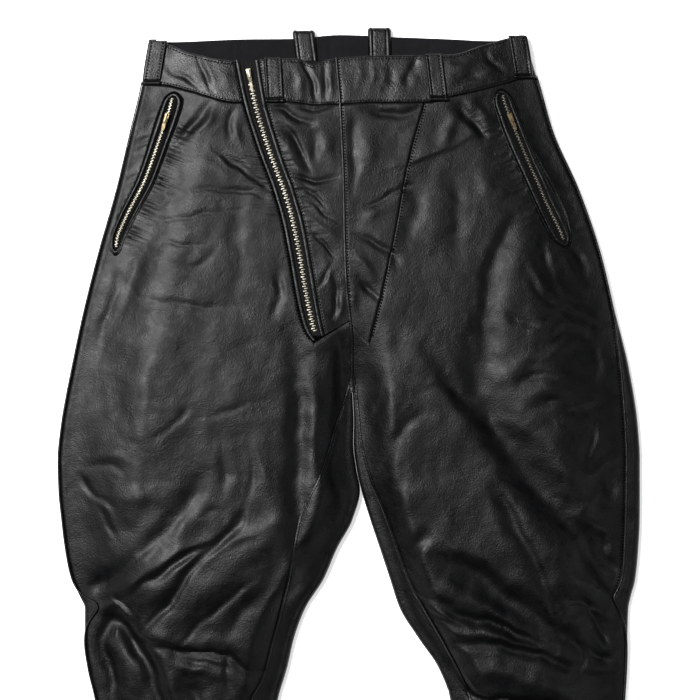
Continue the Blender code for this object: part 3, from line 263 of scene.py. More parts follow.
# Creases of the leather: height (negative for a trough), half width, lean, and the points (across, down)
# of its line. A lean of 0.5 makes the side to the left of its direction one and a half times as wide,
# and the other side half as wide.
CREASES = (
    # wearer's right: the flare's tuck and the folds that run up from it
    (-4.5, 10, 0.0, (-288, 572), (-268, 588), (-246, 576), (-222, 556), (-198, 532)),
    (3.2, 7, -0.3, (-264, 600), (-246, 586), (-224, 566), (-204, 548), (-186, 530)),
    (3.6, 6, 0.2, (-246, 600), (-212, 574), (-178, 551), (-148, 538)),
    (-3.2, 4.5, 0.0, (-240, 602), (-206, 580), (-176, 558), (-150, 544), (-124, 531)),
    (3.6, 8, 0.0, (-226, 618), (-196, 590), (-168, 562), (-140, 540)),
    (-4.2, 5, 0.2, (-214, 634), (-190, 606), (-166, 574), (-150, 553), (-126, 534), (-112, 512)),
    (5.5, 15, 0.0, (-200, 640), (-158, 602), (-116, 562), (-78, 526)),
    (2.0, 5, 0.2, (-136, 548), (-104, 531), (-72, 520)),
    (-1.6, 3.5, 0.0, (-182, 652), (-150, 622), (-118, 594), (-98, 576)),
    (-2.4, 8, 0.0, (-134, 642), (-108, 612), (-88, 590), (-76, 562)),
    (-4.0, 10, 0.0, (-206, 548), (-184, 522), (-166, 496), (-154, 466)),
    (2.0, 8, 0.0, (-186, 548), (-168, 522), (-150, 500)),
    (2.2, 9, 0.0, (-248, 508), (-218, 490), (-196, 492), (-184, 478)),
    (-2.5, 14, 0.0, (-248, 545), (-224, 526), (-210, 500)),
    (-2.2, 4, 0.0, (-286, 470), (-268, 490), (-248, 500)),
    (-1.4, 4, 0.0, (-264, 500), (-252, 520), (-242, 538)),
    (1.6, 5, 0.0, (-276, 484), (-258, 502), (-244, 526)),
    (-1.6, 4, 0.0, (-276, 462), (-254, 459), (-236, 468)),
    (1.3, 4, 0.0, (-272, 452), (-250, 449), (-222, 460)),
    (-1.4, 4, 0.0, (-296, 440), (-292, 456), (-297, 474)),
    (-1.2, 4, 0.0, (-284, 476), (-294, 490), (-290, 500)),
    (1.4, 5, 0.0, (-294, 505), (-286, 530), (-288, 560)),
    # wearer's right: the flap under the flare and the knee's creases
    (4.0, 4.5, -0.3, (-277, 656), (-273, 630), (-264, 614), (-243, 606), (-234, 616), (-226, 630),
     (-212, 640)),
    (-9.5, 8.5, 0.0, (-266, 672), (-262, 646), (-251, 628), (-238, 626), (-227, 641), (-214, 662),
     (-204, 684), (-197, 710), (-194, 740)),
    (-4.6, 4.5, -0.3, (-228, 641), (-202, 649), (-176, 653), (-150, 657), (-128, 657), (-116, 664),
     (-104, 675), (-86, 676)),
    (3.0, 8, 0.0, (-222, 632), (-196, 640), (-160, 645), (-126, 644), (-100, 658)),
    (-2.8, 4, 0.0, (-194, 657), (-166, 663), (-142, 669), (-124, 671)),
    (2.4, 5, 0.0, (-186, 668), (-156, 674), (-130, 682)),
    (-2.0, 4, 0.0, (-126, 662), (-127, 678), (-124, 694)),
    (2.2, 7, 0.0, (-112, 680), (-104, 694), (-108, 716)),
    (2.2, 9, 0.0, (-240, 656), (-232, 680), (-230, 710), (-234, 740)),
    (-5.0, 8, 0.0, (-266, 640), (-256, 664), (-250, 690), (-252, 730)),
    (3.2, 8, 0.0, (-192, 672), (-184, 690), (-180, 720), (-178, 760)),
    (-2.6, 7, 0.0, (-172, 686), (-160, 700), (-156, 730)),
    (2.6, 9, 0.0, (-150, 690), (-142, 716), (-140, 756)),
    # wearer's right: the long valley beside the inseam, and the thigh's soft ones
    (-6.4, 11, 0.0, (-57, 318), (-53, 372), (-51, 424), (-53, 476), (-52, 520), (-48, 556), (-44, 578)),
    (5.0, 9, 0.0, (-20, 322), (-17, 356), (-19, 396), (-27, 436)),
    (2.4, 14, 0.0, (-92, 420), (-86, 470), (-78, 510), (-84, 560)),
    (-1.8, 5, 0.0, (-18, 452), (-13, 476), (-8, 500)),
    (-1.6, 6, 0.0, (-26, 380), (-24, 410), (-28, 440)),
    (2.0, 6, 0.0, (-66, 598), (-46, 586), (-28, 580)),
    (-2.2, 7, 0.0, (-52, 578), (-40, 572), (-30, 560)),
    (-1.0, 5, 0.0, (-132, 430), (-130, 470), (-134, 500)),
    (1.0, 5, 0.0, (-122, 430), (-119, 470), (-122, 508)),
    (-1.1, 4, 0.0, (-104, 430), (-100, 462), (-104, 500)),
    (1.0, 4, 0.0, (-96, 452), (-88, 468), (-84, 486)),
    (-1.3, 4, 0.0, (-108, 496), (-110, 514), (-118, 528)),
    (-1.0, 3, 0.0, (-156, 513), (-142, 507), (-128, 507)),
    (-1.5, 3.5, 0.3, (-202, 433), (-186, 421), (-172, 408), (-166, 398)),
    (-0.9, 3.5, 0.3, (-154, 413), (-132, 405), (-112, 399), (-88, 392)),
    (-1.0, 11, 0.0, (-168, 332), (-165, 390), (-168, 446)),
    (-1.8, 20, 0.0, (-232, 330), (-238, 380), (-240, 440)),
    (1.6, 20, 0.0, (-200, 330), (-204, 400), (-196, 460)),
    (1.6, 18, 0.0, (-125, 320), (-120, 380), (-118, 420)),
    (-1.3, 3.5, 0.2, (-224, 285), (-200, 288), (-172, 292), (-142, 295), (-114, 294)),
    (-1.0, 4, 0.0, (-196, 246), (-170, 252), (-150, 246), (-138, 234)),
    (-0.9, 3.5, 0.2, (-204, 206), (-172, 200), (-142, 196), (-108, 190)),
    (-0.8, 3, 0.0, (-196, 226), (-172, 229), (-148, 228)),
    (-1.4, 3.5, 0.2, (-162, 172), (-132, 171), (-106, 174), (-88, 180)),
    (-2.4, 4.5, 0.3, (-142, 127), (-126, 140), (-108, 152), (-94, 163), (-84, 169)),
    (1.2, 6, 0.0, (-150, 140), (-128, 154), (-106, 168)),
    (-2.8, 9, 0.0, (-208, 216), (-218, 244), (-228, 270), (-238, 296), (-256, 330)),
    (2.0, 8, 0.0, (-244, 236), (-256, 268), (-268, 300), (-279, 335)),
    (-1.6, 6, 0.0, (-240, 262), (-252, 296), (-264, 330)),
    (-1.4, 9, 0.0, (-114, 182), (-117, 214), (-112, 246), (-118, 286)),
    (-2.4, 5, 0.0, (-72, 258), (-72, 280), (-79, 302)),
    (-1.6, 3.5, 0.0, (-122, 90), (-125, 104), (-124, 118)),
    (1.4, 4, 0.0, (-114, 96), (-116, 112), (-112, 128)),
    (-3.4, 6, 0.0, (-148, 80), (-157, 95), (-168, 110), (-178, 121)),
    (1.8, 5, 0.0, (-142, 84), (-146, 98), (-158, 110)),
    (-2.8, 5, 0.0, (-222, 96), (-229, 120), (-233, 146)),
    (2.4, 4, 0.0, (-216, 86), (-221, 112), (-228, 140)),
    (2.4, 5, 0.0, (-232, 160), (-240, 180), (-250, 204)),
    # the fly's panel
    (-2.6, 4.5, 0.0, (-84, 84), (-66, 88), (-52, 97), (-36, 99)),
    (-1.8, 3, 0.0, (-50, 84), (-32, 87), (-14, 84)),
    (1.6, 5, 0.0, (-70, 98), (-58, 106), (-48, 112)),
    (-2.6, 4.5, -0.2, (-68, 104), (-58, 116), (-48, 134), (-40, 150)),
    (1.8, 4.5, 0.0, (-76, 112), (-66, 126), (-56, 142), (-50, 152)),
    (1.8, 6, 0.0, (-30, 108), (-20, 126), (-18, 146)),
    (-1.6, 6, 0.0, (-40, 106), (-34, 124), (-36, 144)),
    (-2.2, 3.5, 0.3, (-62, 157), (-46, 161), (-30, 162), (-12, 158)),
    (1.0, 3, 0.0, (-56, 167), (-40, 170), (-22, 168)),
    (-1.6, 3.5, 0.0, (-46, 170), (-34, 178), (-22, 190)),
    (-1.2, 3, 0.0, (-52, 180), (-38, 184), (-24, 196), (-12, 204)),
    (1.2, 4, 0.0, (-44, 200), (-30, 208), (-16, 220)),
    (-1.6, 3, 0.0, (-38, 218), (-26, 228), (-12, 242)),
    (-1.2, 3, 0.0, (-34, 276), (-24, 262), (-16, 246)),
    (1.0, 4, 0.0, (-26, 240), (-20, 256), (-22, 270)),
    (-2.2, 4.5, 0.0, (-16, 262), (-13, 280), (-12, 294), (-16, 306)),
    (2.0, 4, 0.0, (-8, 280), (-6, 292), (-10, 304)),
    # below the fork
    (1.8, 4, 0.0, (-26, 334), (-14, 322), (0, 316)),
    (-2.0, 5, 0.0, (-10, 330), (-4, 350), (-3, 372)),
    (1.5, 5, 0.0, (-18, 334), (-14, 356), (-12, 380)),
    (-1.8, 8, 0.0, (-46, 340), (-38, 352), (-30, 372)),
    # wearer's left: hip and inset
    (4.5, 17, 0.0, (160, 84), (172, 110), (186, 140), (200, 168), (214, 196), (224, 216)),
    (-2.8, 6, 0.0, (16, 86), (36, 92), (58, 91), (80, 86)),
    (-1.6, 6, 0.0, (4, 92), (6, 130), (4, 176)),
    (1.4, 8, 0.0, (18, 96), (22, 124), (18, 150)),
    (2.0, 6, 0.5, (36, 152), (62, 142), (92, 132), (122, 117), (152, 103)),
    (-1.8, 4, 0.0, (20, 188), (38, 181), (58, 170), (66, 166)),
    (1.4, 5, 0.0, (14, 206), (24, 196), (40, 190)),
    (-2.4, 5.5, 0.0, (10, 220), (26, 226), (44, 236), (50, 248)),
    (1.8, 5, 0.0, (6, 240), (18, 252), (26, 266)),
    (-2.4, 5, 0.0, (12, 266), (22, 278), (34, 288)),
    (1.6, 5, 0.0, (4, 260), (6, 290), (12, 316)),
    (-1.6, 9, 0.0, (72, 160), (69, 194), (60, 228)),
    (1.0, 12, 0.0, (92, 150), (90, 190), (82, 240)),
    (-3.0, 10, 0.3, (178, 196), (162, 222), (150, 250), (144, 282), (142, 322), (142, 350)),
    (2.0, 16, 0.0, (196, 222), (180, 250), (170, 286), (168, 330)),
    (2.4, 6, 0.0, (96, 128), (106, 108), (114, 92)),
    (-3.0, 6, 0.0, (112, 80), (124, 92), (134, 104), (142, 118)),
    (1.6, 5, 0.0, (126, 78), (142, 92), (150, 104)),
    (1.8, 9, 0.0, (132, 138), (142, 164), (150, 194)),
    (-1.4, 8, 0.0, (110, 160), (116, 200), (112, 240)),
    # wearer's left: below the pocket
    (-2.2, 5.5, 0.0, (234, 226), (244, 240), (249, 258)),
    (2.0, 5, 0.0, (226, 238), (234, 256), (246, 268)),
    (-2.2, 5, 0.0, (204, 222), (206, 242), (212, 260)),
    (2.4, 5, 0.0, (190, 240), (198, 264), (214, 284), (238, 296)),
    (1.8, 4, 0.0, (214, 262), (226, 278), (242, 286)),
    (-1.6, 4, 0.0, (188, 262), (202, 280), (220, 294)),
    (-1.6, 4, 0.0, (202, 306), (224, 300), (248, 307), (272, 316)),
    (1.6, 5, 0.0, (206, 318), (226, 310), (250, 318)),
    (-1.8, 5, 0.0, (208, 332), (230, 320), (252, 326)),
    (2.2, 6, 0.0, (200, 350), (222, 338), (246, 322)),
    (-1.6, 5, 0.0, (166, 300), (178, 310), (196, 312)),
    (1.5, 4, 0.0, (252, 296), (256, 316), (252, 336)),
    (-1.4, 5, 0.0, (258, 330), (262, 350), (256, 372)),
    (2.6, 8, 0.0, (164, 372), (182, 352), (206, 344)),
    (-1.8, 5, 0.0, (176, 376), (196, 366), (214, 366)),
    (2.4, 6, 0.0, (184, 390), (206, 380), (228, 382)),
    (-2.0, 5, 0.0, (190, 402), (212, 392), (236, 392)),
    (-1.8, 5, 0.0, (226, 402), (246, 404), (264, 398)),
    (-2.4, 5, 0.0, (256, 408), (256, 432), (248, 462)),
    (1.8, 6, 0.0, (242, 412), (240, 440), (234, 468)),
    # wearer's left: the long valley down the thigh and its neighbours
    (-3.6, 9, 0.0, (84, 338), (102, 366), (118, 388), (136, 404), (152, 420)),
    (-9.0, 19, 0.2, (130, 330), (134, 366), (144, 400), (160, 432), (182, 464), (204, 492), (228, 518),
     (250, 540)),
    (-7.0, 13, 0.0, (226, 516), (246, 544), (262, 570), (278, 592)),
    (3.4, 16, 0.0, (178, 388), (198, 420), (216, 450), (234, 478), (250, 496)),
    (3.4, 15, 0.0, (120, 404), (140, 444), (164, 486), (190, 522), (218, 558), (248, 590), (280, 612)),
    (-3.0, 7, 0.0, (152, 482), (166, 508), (184, 544), (198, 570), (210, 600), (226, 636)),
    (2.6, 8, 0.0, (140, 488), (156, 520), (172, 554), (188, 586)),
    (-8.0, 14, -0.2, (94, 558), (118, 566), (142, 580), (162, 596), (186, 612), (206, 630), (228, 640)),
    (4.2, 9, 0.0, (98, 584), (126, 600), (156, 614), (190, 634)),
    (-5.4, 6.5, 0.0, (98, 608), (128, 620), (158, 628), (184, 640), (214, 656)),
    (4.0, 7, 0.0, (110, 632), (140, 636), (170, 642), (206, 654)),
    (-4.2, 6, 0.0, (112, 645), (136, 646), (166, 650), (194, 657), (222, 668), (242, 671)),
    (9.0, 12, 0.0, (122, 678), (150, 675), (182, 682), (212, 693), (238, 700)),
    (-7.5, 6, 0.0, (110, 664), (116, 688), (136, 704), (166, 708), (204, 710), (240, 714)),
    (4.4, 6, 0.0, (108, 650), (114, 674), (130, 694), (150, 712)),
    (4.2, 8, 0.0, (160, 714), (200, 716), (246, 710)),
    (-2.2, 7, 0.0, (222, 638), (240, 648), (246, 668), (236, 684)),
    (-3.0, 4.5, 0.0, (248, 606), (261, 624), (271, 648)),
    (3.0, 6, 0.0, (226, 626), (244, 622), (262, 612), (280, 622)),
    (2.4, 4.5, 0.0, (256, 640), (270, 652), (286, 648)),
    (-2.2, 4, 0.0, (252, 656), (268, 664), (286, 662)),
    (2.6, 5, 0.0, (250, 672), (268, 676), (286, 670)),
    (3.4, 6, -0.4, (254, 580), (270, 594), (284, 612), (291, 634)),
    (-2.0, 4, 0.0, (222, 600), (244, 604), (268, 612)),
    # wearer's left: crumples beside the outseam
    (-3.6, 10, 0.0, (272, 462), (274, 486), (270, 508)),
    (2.6, 5, 0.0, (236, 452), (252, 470), (272, 458), (290, 446)),
    (2.6, 6, 0.0, (236, 516), (258, 496), (284, 470)),
    (2.4, 5, 0.0, (240, 514), (262, 526), (284, 552)),
    (-3.0, 7, 0.0, (262, 530), (272, 556), (286, 580)),
    (2.0, 5, 0.0, (236, 524), (250, 552), (262, 580)),
    # wearer's left: the inner thigh
    (-2.2, 5, 0.0, (30, 474), (44, 446), (58, 420), (78, 402)),
    (-1.6, 6, 0.0, (20, 428), (32, 402), (40, 374)),
    (1.8, 7, 0.0, (28, 446), (42, 418), (52, 396)),
    (-1.4, 5, 0.0, (44, 510), (50, 486), (58, 462)),
    (2.8, 14, 0.0, (54, 506), (76, 490), (98, 482)),
    (-3.4, 8, 0.0, (84, 524), (74, 540), (66, 560), (76, 584)),
    (1.8, 6, 0.0, (88, 526), (104, 540), (122, 552), (146, 560)),
    (-1.8, 5, 0.0, (66, 590), (88, 600), (112, 606)),
    (2.0, 5, 0.0, (74, 604), (92, 614), (116, 626)),
    (-1.8, 4, 0.0, (84, 612), (98, 622), (122, 632)),
    (1.4, 6, 0.0, (34, 540), (42, 560), (52, 586)),
    # waistband
    (-1.4, 4, 0.0, (-194, 40), (-182, 50), (-166, 56), (-152, 68)),
    (1.2, 4, 0.0, (-190, 48), (-176, 57), (-160, 62)),
    (-1.5, 3.5, 0.3, (-160, 28), (-155, 42), (-148, 54), (-143, 68)),
    (1.0, 3.5, 0.0, (-152, 30), (-147, 44), (-140, 58)),
    (0.9, 6, 0.0, (-136, 44), (-128, 54), (-124, 68)),
    (-1.8, 3.5, 0.3, (-47, 36), (-42, 50), (-37, 64), (-33, 78)),
    (1.3, 4, 0.0, (-56, 40), (-52, 56), (-50, 72)),
    (1.2, 3.5, 0.0, (-40, 44), (-34, 58), (-27, 76)),
    (-1.2, 3, 0.0, (-26, 38), (-25, 58), (-22, 78)),
    (1.2, 3, 0.0, (-20, 36), (-19, 58), (-17, 78)),
    (1.0, 5, 0.0, (10, 34), (12, 50), (9, 68)),
    (1.0, 3, 0.0, (24, 36), (27, 50), (24, 64)),
    (-1.2, 6, 0.0, (44, 38), (46, 52), (40, 70)),
    (-1.6, 5, 0.0, (72, 34), (66, 48), (60, 62)),
    (1.2, 5, 0.0, (104, 40), (118, 44), (130, 36)),
    (-1.2, 4, 0.0, (112, 60), (126, 54), (140, 50)),
    (1.4, 5, 0.0, (132, 54), (148, 44), (160, 40)),
    (-1.2, 4, 0.0, (146, 24), (150, 36), (162, 46)),
    # calves, past the photo's edge
    (3.0, 18, 0.0, (-215, 780), (-180, 810), (-120, 820)),
    (-2.5, 14, 0.0, (-222, 820), (-182, 836), (-128, 850)),
    (-2.5, 18, 0.0, (-210, 880), (-170, 890), (-120, 900)),
    (2.0, 12, 0.0, (-190, 930), (-176, 960), (-180, 1000)),
    (-2.2, 10, 0.0, (-216, 760), (-204, 800), (-206, 850)),
    (3.0, 18, 0.0, (160, 780), (200, 800), (250, 800)),
    (-2.5, 14, 0.0, (150, 830), (196, 842), (248, 836)),
    (-2.5, 18, 0.0, (150, 870), (200, 895), (250, 890)),
    (2.2, 12, 0.0, (196, 920), (206, 956), (204, 1000)),
    (-2.2, 10, 0.0, (236, 760), (228, 800), (236, 850)),
)
CREASE_STEPS = 5            # straight runs between two points of a line
CREASE_REACH = 3.2          # half widths within which a crease is worked out
RIDGE_SHARE = 0.72          # ridges stand this much of their heights
TROUGH_SHARE = 0.80         # narrow troughs have this much of their widths
NARROW = 7.5                # half width below which a trough is narrow
FAR_SIDE, FAR_GAIN = 60.0, 1.35  # troughs that start past this across, on the wearer's left, are deeper

# Short puckers drawn in by the sewing: line's name, side, which hand of it they lie on (+1 where across
# grows), from down, to down, height, reach, pitch, slant.
PUCKERS = (
    ("pocket_high", RIGHT, 1, 96, 234, 1.15, 15.0, 6.2, -0.35),
    ("pocket_low", RIGHT, -1, 84, 170, 0.6, 10.0, 13.0, -0.4),
    ("pocket_low", LEFT, -1, 84, 222, 1.0, 14.0, 6.4, -0.35),
    ("pocket_high", LEFT, 1, 160, 226, 0.9, 10.0, 10.0, 0.3),
    ("fly_outer", RIGHT, -1, 120, 215, 0.5, 18.0, 6.5, 0.15),
    ("fly_inner", RIGHT, 1, 96, 232, 0.6, 14.0, 6.5, 0.1),
    ("centre", LEFT, 1, 150, 300, 0.3, 9.0, 5.0, 0.0),
    ("inset", LEFT, 1, 120, 300, 0.25, 7.0, 6.0, 0.0),
    ("outseam", LEFT, -1, 250, 590, 0.45, 8.0, 4.5, 0.0),
    ("inseam", RIGHT, -1, 400, 520, 0.5, 12.0, 5.0, 0.5),
    ("inseam", LEFT, 1, 440, 640, 0.4, 10.0, 6.0, -0.4),
)
PUCKER_FADE = 14.0          # puckers fade over this much at both ends of their line
PUCKER_START = 1.6          # and start this far from the stitches


def smooth(t):
    """0 to 1 with level ends."""
    t = np.clip(t, 0.0, 1.0)
    return t * t * (3.0 - 2.0 * t)


def line_through(knots, values):
    """Smooth function through the points of a table, with no overshoot, level beyond its ends."""
    knots = np.array(knots, float)
    values = np.array(values, float)
    steps = np.diff(knots)
    rates = np.diff(values) / steps
    same_way = rates[:-1] * rates[1:] > 0.0
    both = np.where(same_way, rates[:-1] + rates[1:], 1.0)
    inner_slopes = np.where(same_way, 2 * rates[:-1] * rates[1:] / both, 0.0)
    slopes = np.concatenate([rates[:1], inner_slopes, rates[-1:]])

    def at(value):
        value = np.clip(np.asarray(value, float), knots[0], knots[-1])
        i = np.clip(np.searchsorted(knots, value, side="right") - 1, 0, len(steps) - 1)
        step = steps[i]
        t = (value - knots[i]) / step
        near = (1 + 2 * t) * (1 - t) ** 2 * values[i] + t * (1 - t) ** 2 * step * slopes[i]
        far = t * t * (3 - 2 * t) * values[i + 1] + t * t * (t - 1) * step * slopes[i + 1]
        return near + far

    return at


def lines_of(columns, rows):
    """One smooth line for each named column of a table, against its first column."""
    table = list(zip(*rows))
    return {name: line_through(table[0], table[k]) for k, name in enumerate(columns) if k}


EDGE_LINES = lines_of(EDGE_COLUMNS, EDGES)
INNER_LINES = lines_of(INNER_COLUMNS, INNERS)
INSEAM_LINES = lines_of(INSEAM_COLUMNS, INSEAMS)
OUTSEAM_LINES = lines_of(OUTSEAM_COLUMNS, OUTSEAMS)
FLY_LINES = lines_of(FLY_COLUMNS, FLY)
INSET_LINES = lines_of(INSET_COLUMNS, INSET)
BAND_FRONT_LINES = lines_of(BAND_FRONT_COLUMNS, BAND_FRONT)
BAND_BACK_LINES = lines_of(BAND_BACK_COLUMNS, BAND_BACK)
POCKET_LINES = {side: lines_of(POCKET_COLUMNS, rows) for side, rows in POCKETS.items()}

radius = EDGE_LINES["fold_radius"]
bulge = EDGE_LINES["bulge"]
split = INNER_LINES["split"]


def sided(lines, what, side, down):
    """Value of a table's column for one side of the garment."""
    return lines[f"{SIDE_NAMES[side]}_{what}"](down)


def outer_edge(side, down):
    return sided(EDGE_LINES, "edge", side, down)


def inner_edge(side, down):
    """Centre seam above the crotch, the leg's inner edge below it."""
    return sided(INNER_LINES, "inner", side, down) + side * SEAM_GAP / 2


def centre_line(side, shift=0.0):
    """The centre seam of one side as a function of down alone."""
    return lambda down: inner_edge(side, down) + shift


def inner_corner(down):
    return np.minimum(INNER_LINES["corner_radius"](down), radius(down))


def inseam(side, down):
    """Where the front ends below the crotch: on the top sheet, clear of the inner fold."""
    line = sided(INSEAM_LINES, "inseam", side, down)
    clear = inner_edge(side, down) + side * (inner_corner(down) + INSEAM_CLEAR)
    return np.maximum(line, clear) if side == LEFT else np.minimum(line, clear)


def outseam_walk(side, down):
    return sided(OUTSEAM_LINES, "walk", side, down)


def lift(down):
    """Height of the back above the floor, only under the waistband."""
    begin, end = LIFT_FADE
    return BAND_LIFT * (1.0 - smooth((np.asarray(down, float) - begin) / (end - begin)))


def curve_through(points):
    """Points of a smooth curve through a crease's own points (Catmull-Rom)."""
    points = np.array(points, float)
    padded = np.vstack([2 * points[0] - points[1], points, 2 * points[-1] - points[-2]])
    path = []
    for k in range(len(points) - 1):
        a, b, c, d = padded[k:k + 4]
        for t in np.arange(CREASE_STEPS) / CREASE_STEPS:
            path.append(0.5 * (2 * b + (c - a) * t + (2 * a - 5 * b + 4 * c - d) * t * t
                               + (3 * b - a - 3 * c + d) * t ** 3))
    path.append(points[-1])
    return np.array(path)


def crease_height(across, down):
    """Sum of the creases at points of the top sheet, fading at both ends of each."""
    across, down = np.broadcast_arrays(np.asarray(across, float), np.asarray(down, float))
    shape = across.shape
    # lines wander a little, so that none is drawn with a ruler
    x = (across + 1.1 * np.sin(down / 9.0 + across / 31.0) + 0.6 * np.sin(down / 4.1 - across / 13.0)).ravel()
    y = (down + 1.1 * np.sin(across / 8.0 - down / 37.0) + 0.6 * np.sin(across / 3.7 + down / 11.0)).ravel()
    total = np.zeros(x.shape)
    for height, width, lean, *points in CREASES:
        path = curve_through(points)
        if height < 0.0 and path[0, 0] > FAR_SIDE:
            height *= FAR_GAIN
        if height > 0.0:
            height *= RIDGE_SHARE
        elif width < NARROW:
            width *= TROUGH_SHARE
        reach = CREASE_REACH * width * (1 + abs(lean))
        low, high = path.min(axis=0) - reach, path.max(axis=0) + reach
        near = np.nonzero((x > low[0]) & (x < high[0]) & (y > low[1]) & (y < high[1]))[0]
        if not len(near):
            continue
        px, py = x[near], y[near]
        best = np.full(px.shape, np.inf)
        share = np.zeros(px.shape)
        hand = np.zeros(px.shape)
        runs = len(path) - 1
        for k in range(runs):
            run = path[k + 1] - path[k]
            along = ((px - path[k, 0]) * run[0] + (py - path[k, 1]) * run[1]) / (run @ run)
            along = np.clip(along, 0.0, 1.0)
            gap_x = px - path[k, 0] - along * run[0]
            gap_y = py - path[k, 1] - along * run[1]
            gap = gap_x ** 2 + gap_y ** 2
            nearer = gap < best
            best = np.where(nearer, gap, best)
            share = np.where(nearer, (k + along) / runs, share)
            hand = np.where(nearer, np.sign(run[0] * gap_y - run[1] * gap_x), hand)
        # down grows towards the viewer, so a negative turn is to the left of the line's direction
        side_width = width * (1.0 - lean * hand)
        taper = np.sin(math.pi * (0.06 + 0.88 * share)) ** 0.8
        uneven = 0.85 + 0.15 * np.sin(share * 9.0 + height * 3.0)
        total[near] += height * taper * uneven * np.exp(-best / side_width ** 2)
    return total.reshape(shape)


def outseam_across(side, down):
    """Across of the outseam, or of the top sheet's end where the outseam lies on the fold."""
    return outer_edge(side, down) - side * (radius(down) - np.minimum(outseam_walk(side, down), 0.0))


# The sewn lines beside which the leather puckers.
SEAMS = {
    "pocket_low": lambda side, down: POCKET_LINES[side]["low_side"](down),
    "pocket_high": lambda side, down: POCKET_LINES[side]["high_side"](down),
    "fly_outer": lambda side, down: FLY_LINES["outer"](down),
    "fly_inner": lambda side, down: FLY_LINES["inner"](down),
    "inset": lambda side, down: INSET_LINES["inset_seam"](down),
    "centre": inner_edge,
    "inseam": inseam,
    "outseam": outseam_across,
}


def comb(turns):
    """Uneven row of small ridges."""
    wave = np.sin(2 * math.pi * turns + 1.4 * np.sin(2 * math.pi * turns * 0.31 + 0.7))
    return wave * (0.62 + 0.38 * np.sin(2 * math.pi * turns * 0.23 + 1.9))


def pucker_height(side, across, down):
    """Puckers beside the sewn lines of one side."""
    total = np.zeros(np.broadcast(across, down).shape)
    for name, owner, hand, begin, end, height, reach, pitch, slant in PUCKERS:
        if owner != side:
            continue
        gap = hand * (across - SEAMS[name](side, down))
        inside = gap > 0.0
        gap = np.maximum(gap, 0.0)
        span = smooth((down - begin) / PUCKER_FADE) * smooth((end - down) / PUCKER_FADE)
        turns = (down + slant * gap) / pitch
        rise = (1.0 - np.exp(-gap / PUCKER_START)) * np.exp(-(gap / reach) ** 1.4)
        total = total + np.where(inside, height * span * comb(turns) * rise, 0.0)
    return total


WAVE_SEED, WAVES, WAVE_SHARE = 11, 26, 0.0015  # a wave's height is this share of its length
wave_rng = np.random.default_rng(WAVE_SEED)
WAVE_LENGTHS = wave_rng.uniform(14.0, 70.0, WAVES)
WAVE_ANGLES = wave_rng.uniform(0.0, math.pi, WAVES)
WAVE_PHASES = wave_rng.uniform(0.0, 2 * math.pi, WAVES)


def undulation(across, down):
    """Slight unevenness of the hide, a few tenths of a millimetre."""
    total = np.zeros(np.broadcast(across, down).shape)
    for length, angle, phase in zip(WAVE_LENGTHS, WAVE_ANGLES, WAVE_PHASES):
        along = across * math.cos(angle) + down * math.sin(angle)
        total = total + length * WAVE_SHARE * np.sin(2 * math.pi * along / length + phase)
    return total


def top_height(side, across, down):
    """Height of the top sheet's outer surface above the floor."""
    from_edge = side * (outer_edge(side, down) - across) - radius(down)
    from_inner = side * (across - inner_edge(side, down)) - inner_corner(down)
    valley = 1.0 - split(down) * (1.0 - smooth(from_inner / INNER_RISE))
    hump = smooth(from_edge / RISE) * valley
    calm = smooth(from_edge / FOLD_EDGE) * (1.0 - split(down) * (1.0 - smooth(from_inner / FOLD_EDGE)))
    folds = crease_height(across, down) + undulation(across, down)
    puckers = pucker_height(side, across, down) * smooth(from_edge / 6.0)
    return 2 * radius(down) + lift(down) + bulge(down) * hump + folds * calm + puckers


def placed(across, down, height):
    """Points in metres from across, down and height in millimetres."""
    across, down, height = np.broadcast_arrays(across, down, height)
    return np.stack([across, GARMENT_LENGTH / 2 - down, height], axis=-1) * MM


def on_top(side, across, down, rise=0.0):
    """Point of the top sheet, so much above its outer surface."""
    across, down = np.broadcast_arrays(np.asarray(across, float), np.asarray(down, float))
    return placed(across, down, top_height(side, across, down) + rise)


def round_fold(side, edge, outward, corner, down, walk, rise=0.0):
    """Point after walking round a folded edge: on the top sheet before 0, on the floor past the fold."""
    height = 2 * radius(down)
    bend = math.pi / 2 * corner
    straight = height - 2 * corner
    turn_top = np.clip(walk, 0.0, bend) / corner
    turn_low = np.clip(walk - bend - straight, 0.0, bend) / corner
    angle = turn_top + turn_low
    fallen = np.clip(walk - bend, 0.0, straight)
    beyond = np.maximum(walk - 2 * bend - straight, 0.0) + np.maximum(-walk, 0.0)
    inset = corner - (corner + rise) * np.sin(angle) + beyond
    across = edge - outward * inset
    arc = lift(down) + height - corner + (corner + rise) * np.cos(angle) - fallen
    top = top_height(side, across, down) + rise
    return placed(across, down, np.where(walk < 0.0, top, arc))


def outer_walk(side, down, walk, rise=0.0):
    return round_fold(side, outer_edge(side, down), side, radius(down), down, walk, rise)


def inner_walk(side, down, walk, rise=0.0):
    return round_fold(side, inner_edge(side, down), -side, inner_corner(down), down, walk, rise)


def walk_to(side, across, down):
    """Walk round the outer fold that ends at a point of the top sheet."""
    return -(side * (outer_edge(side, down) - across) - radius(down))


# ---------------------------------------------------------------- materials

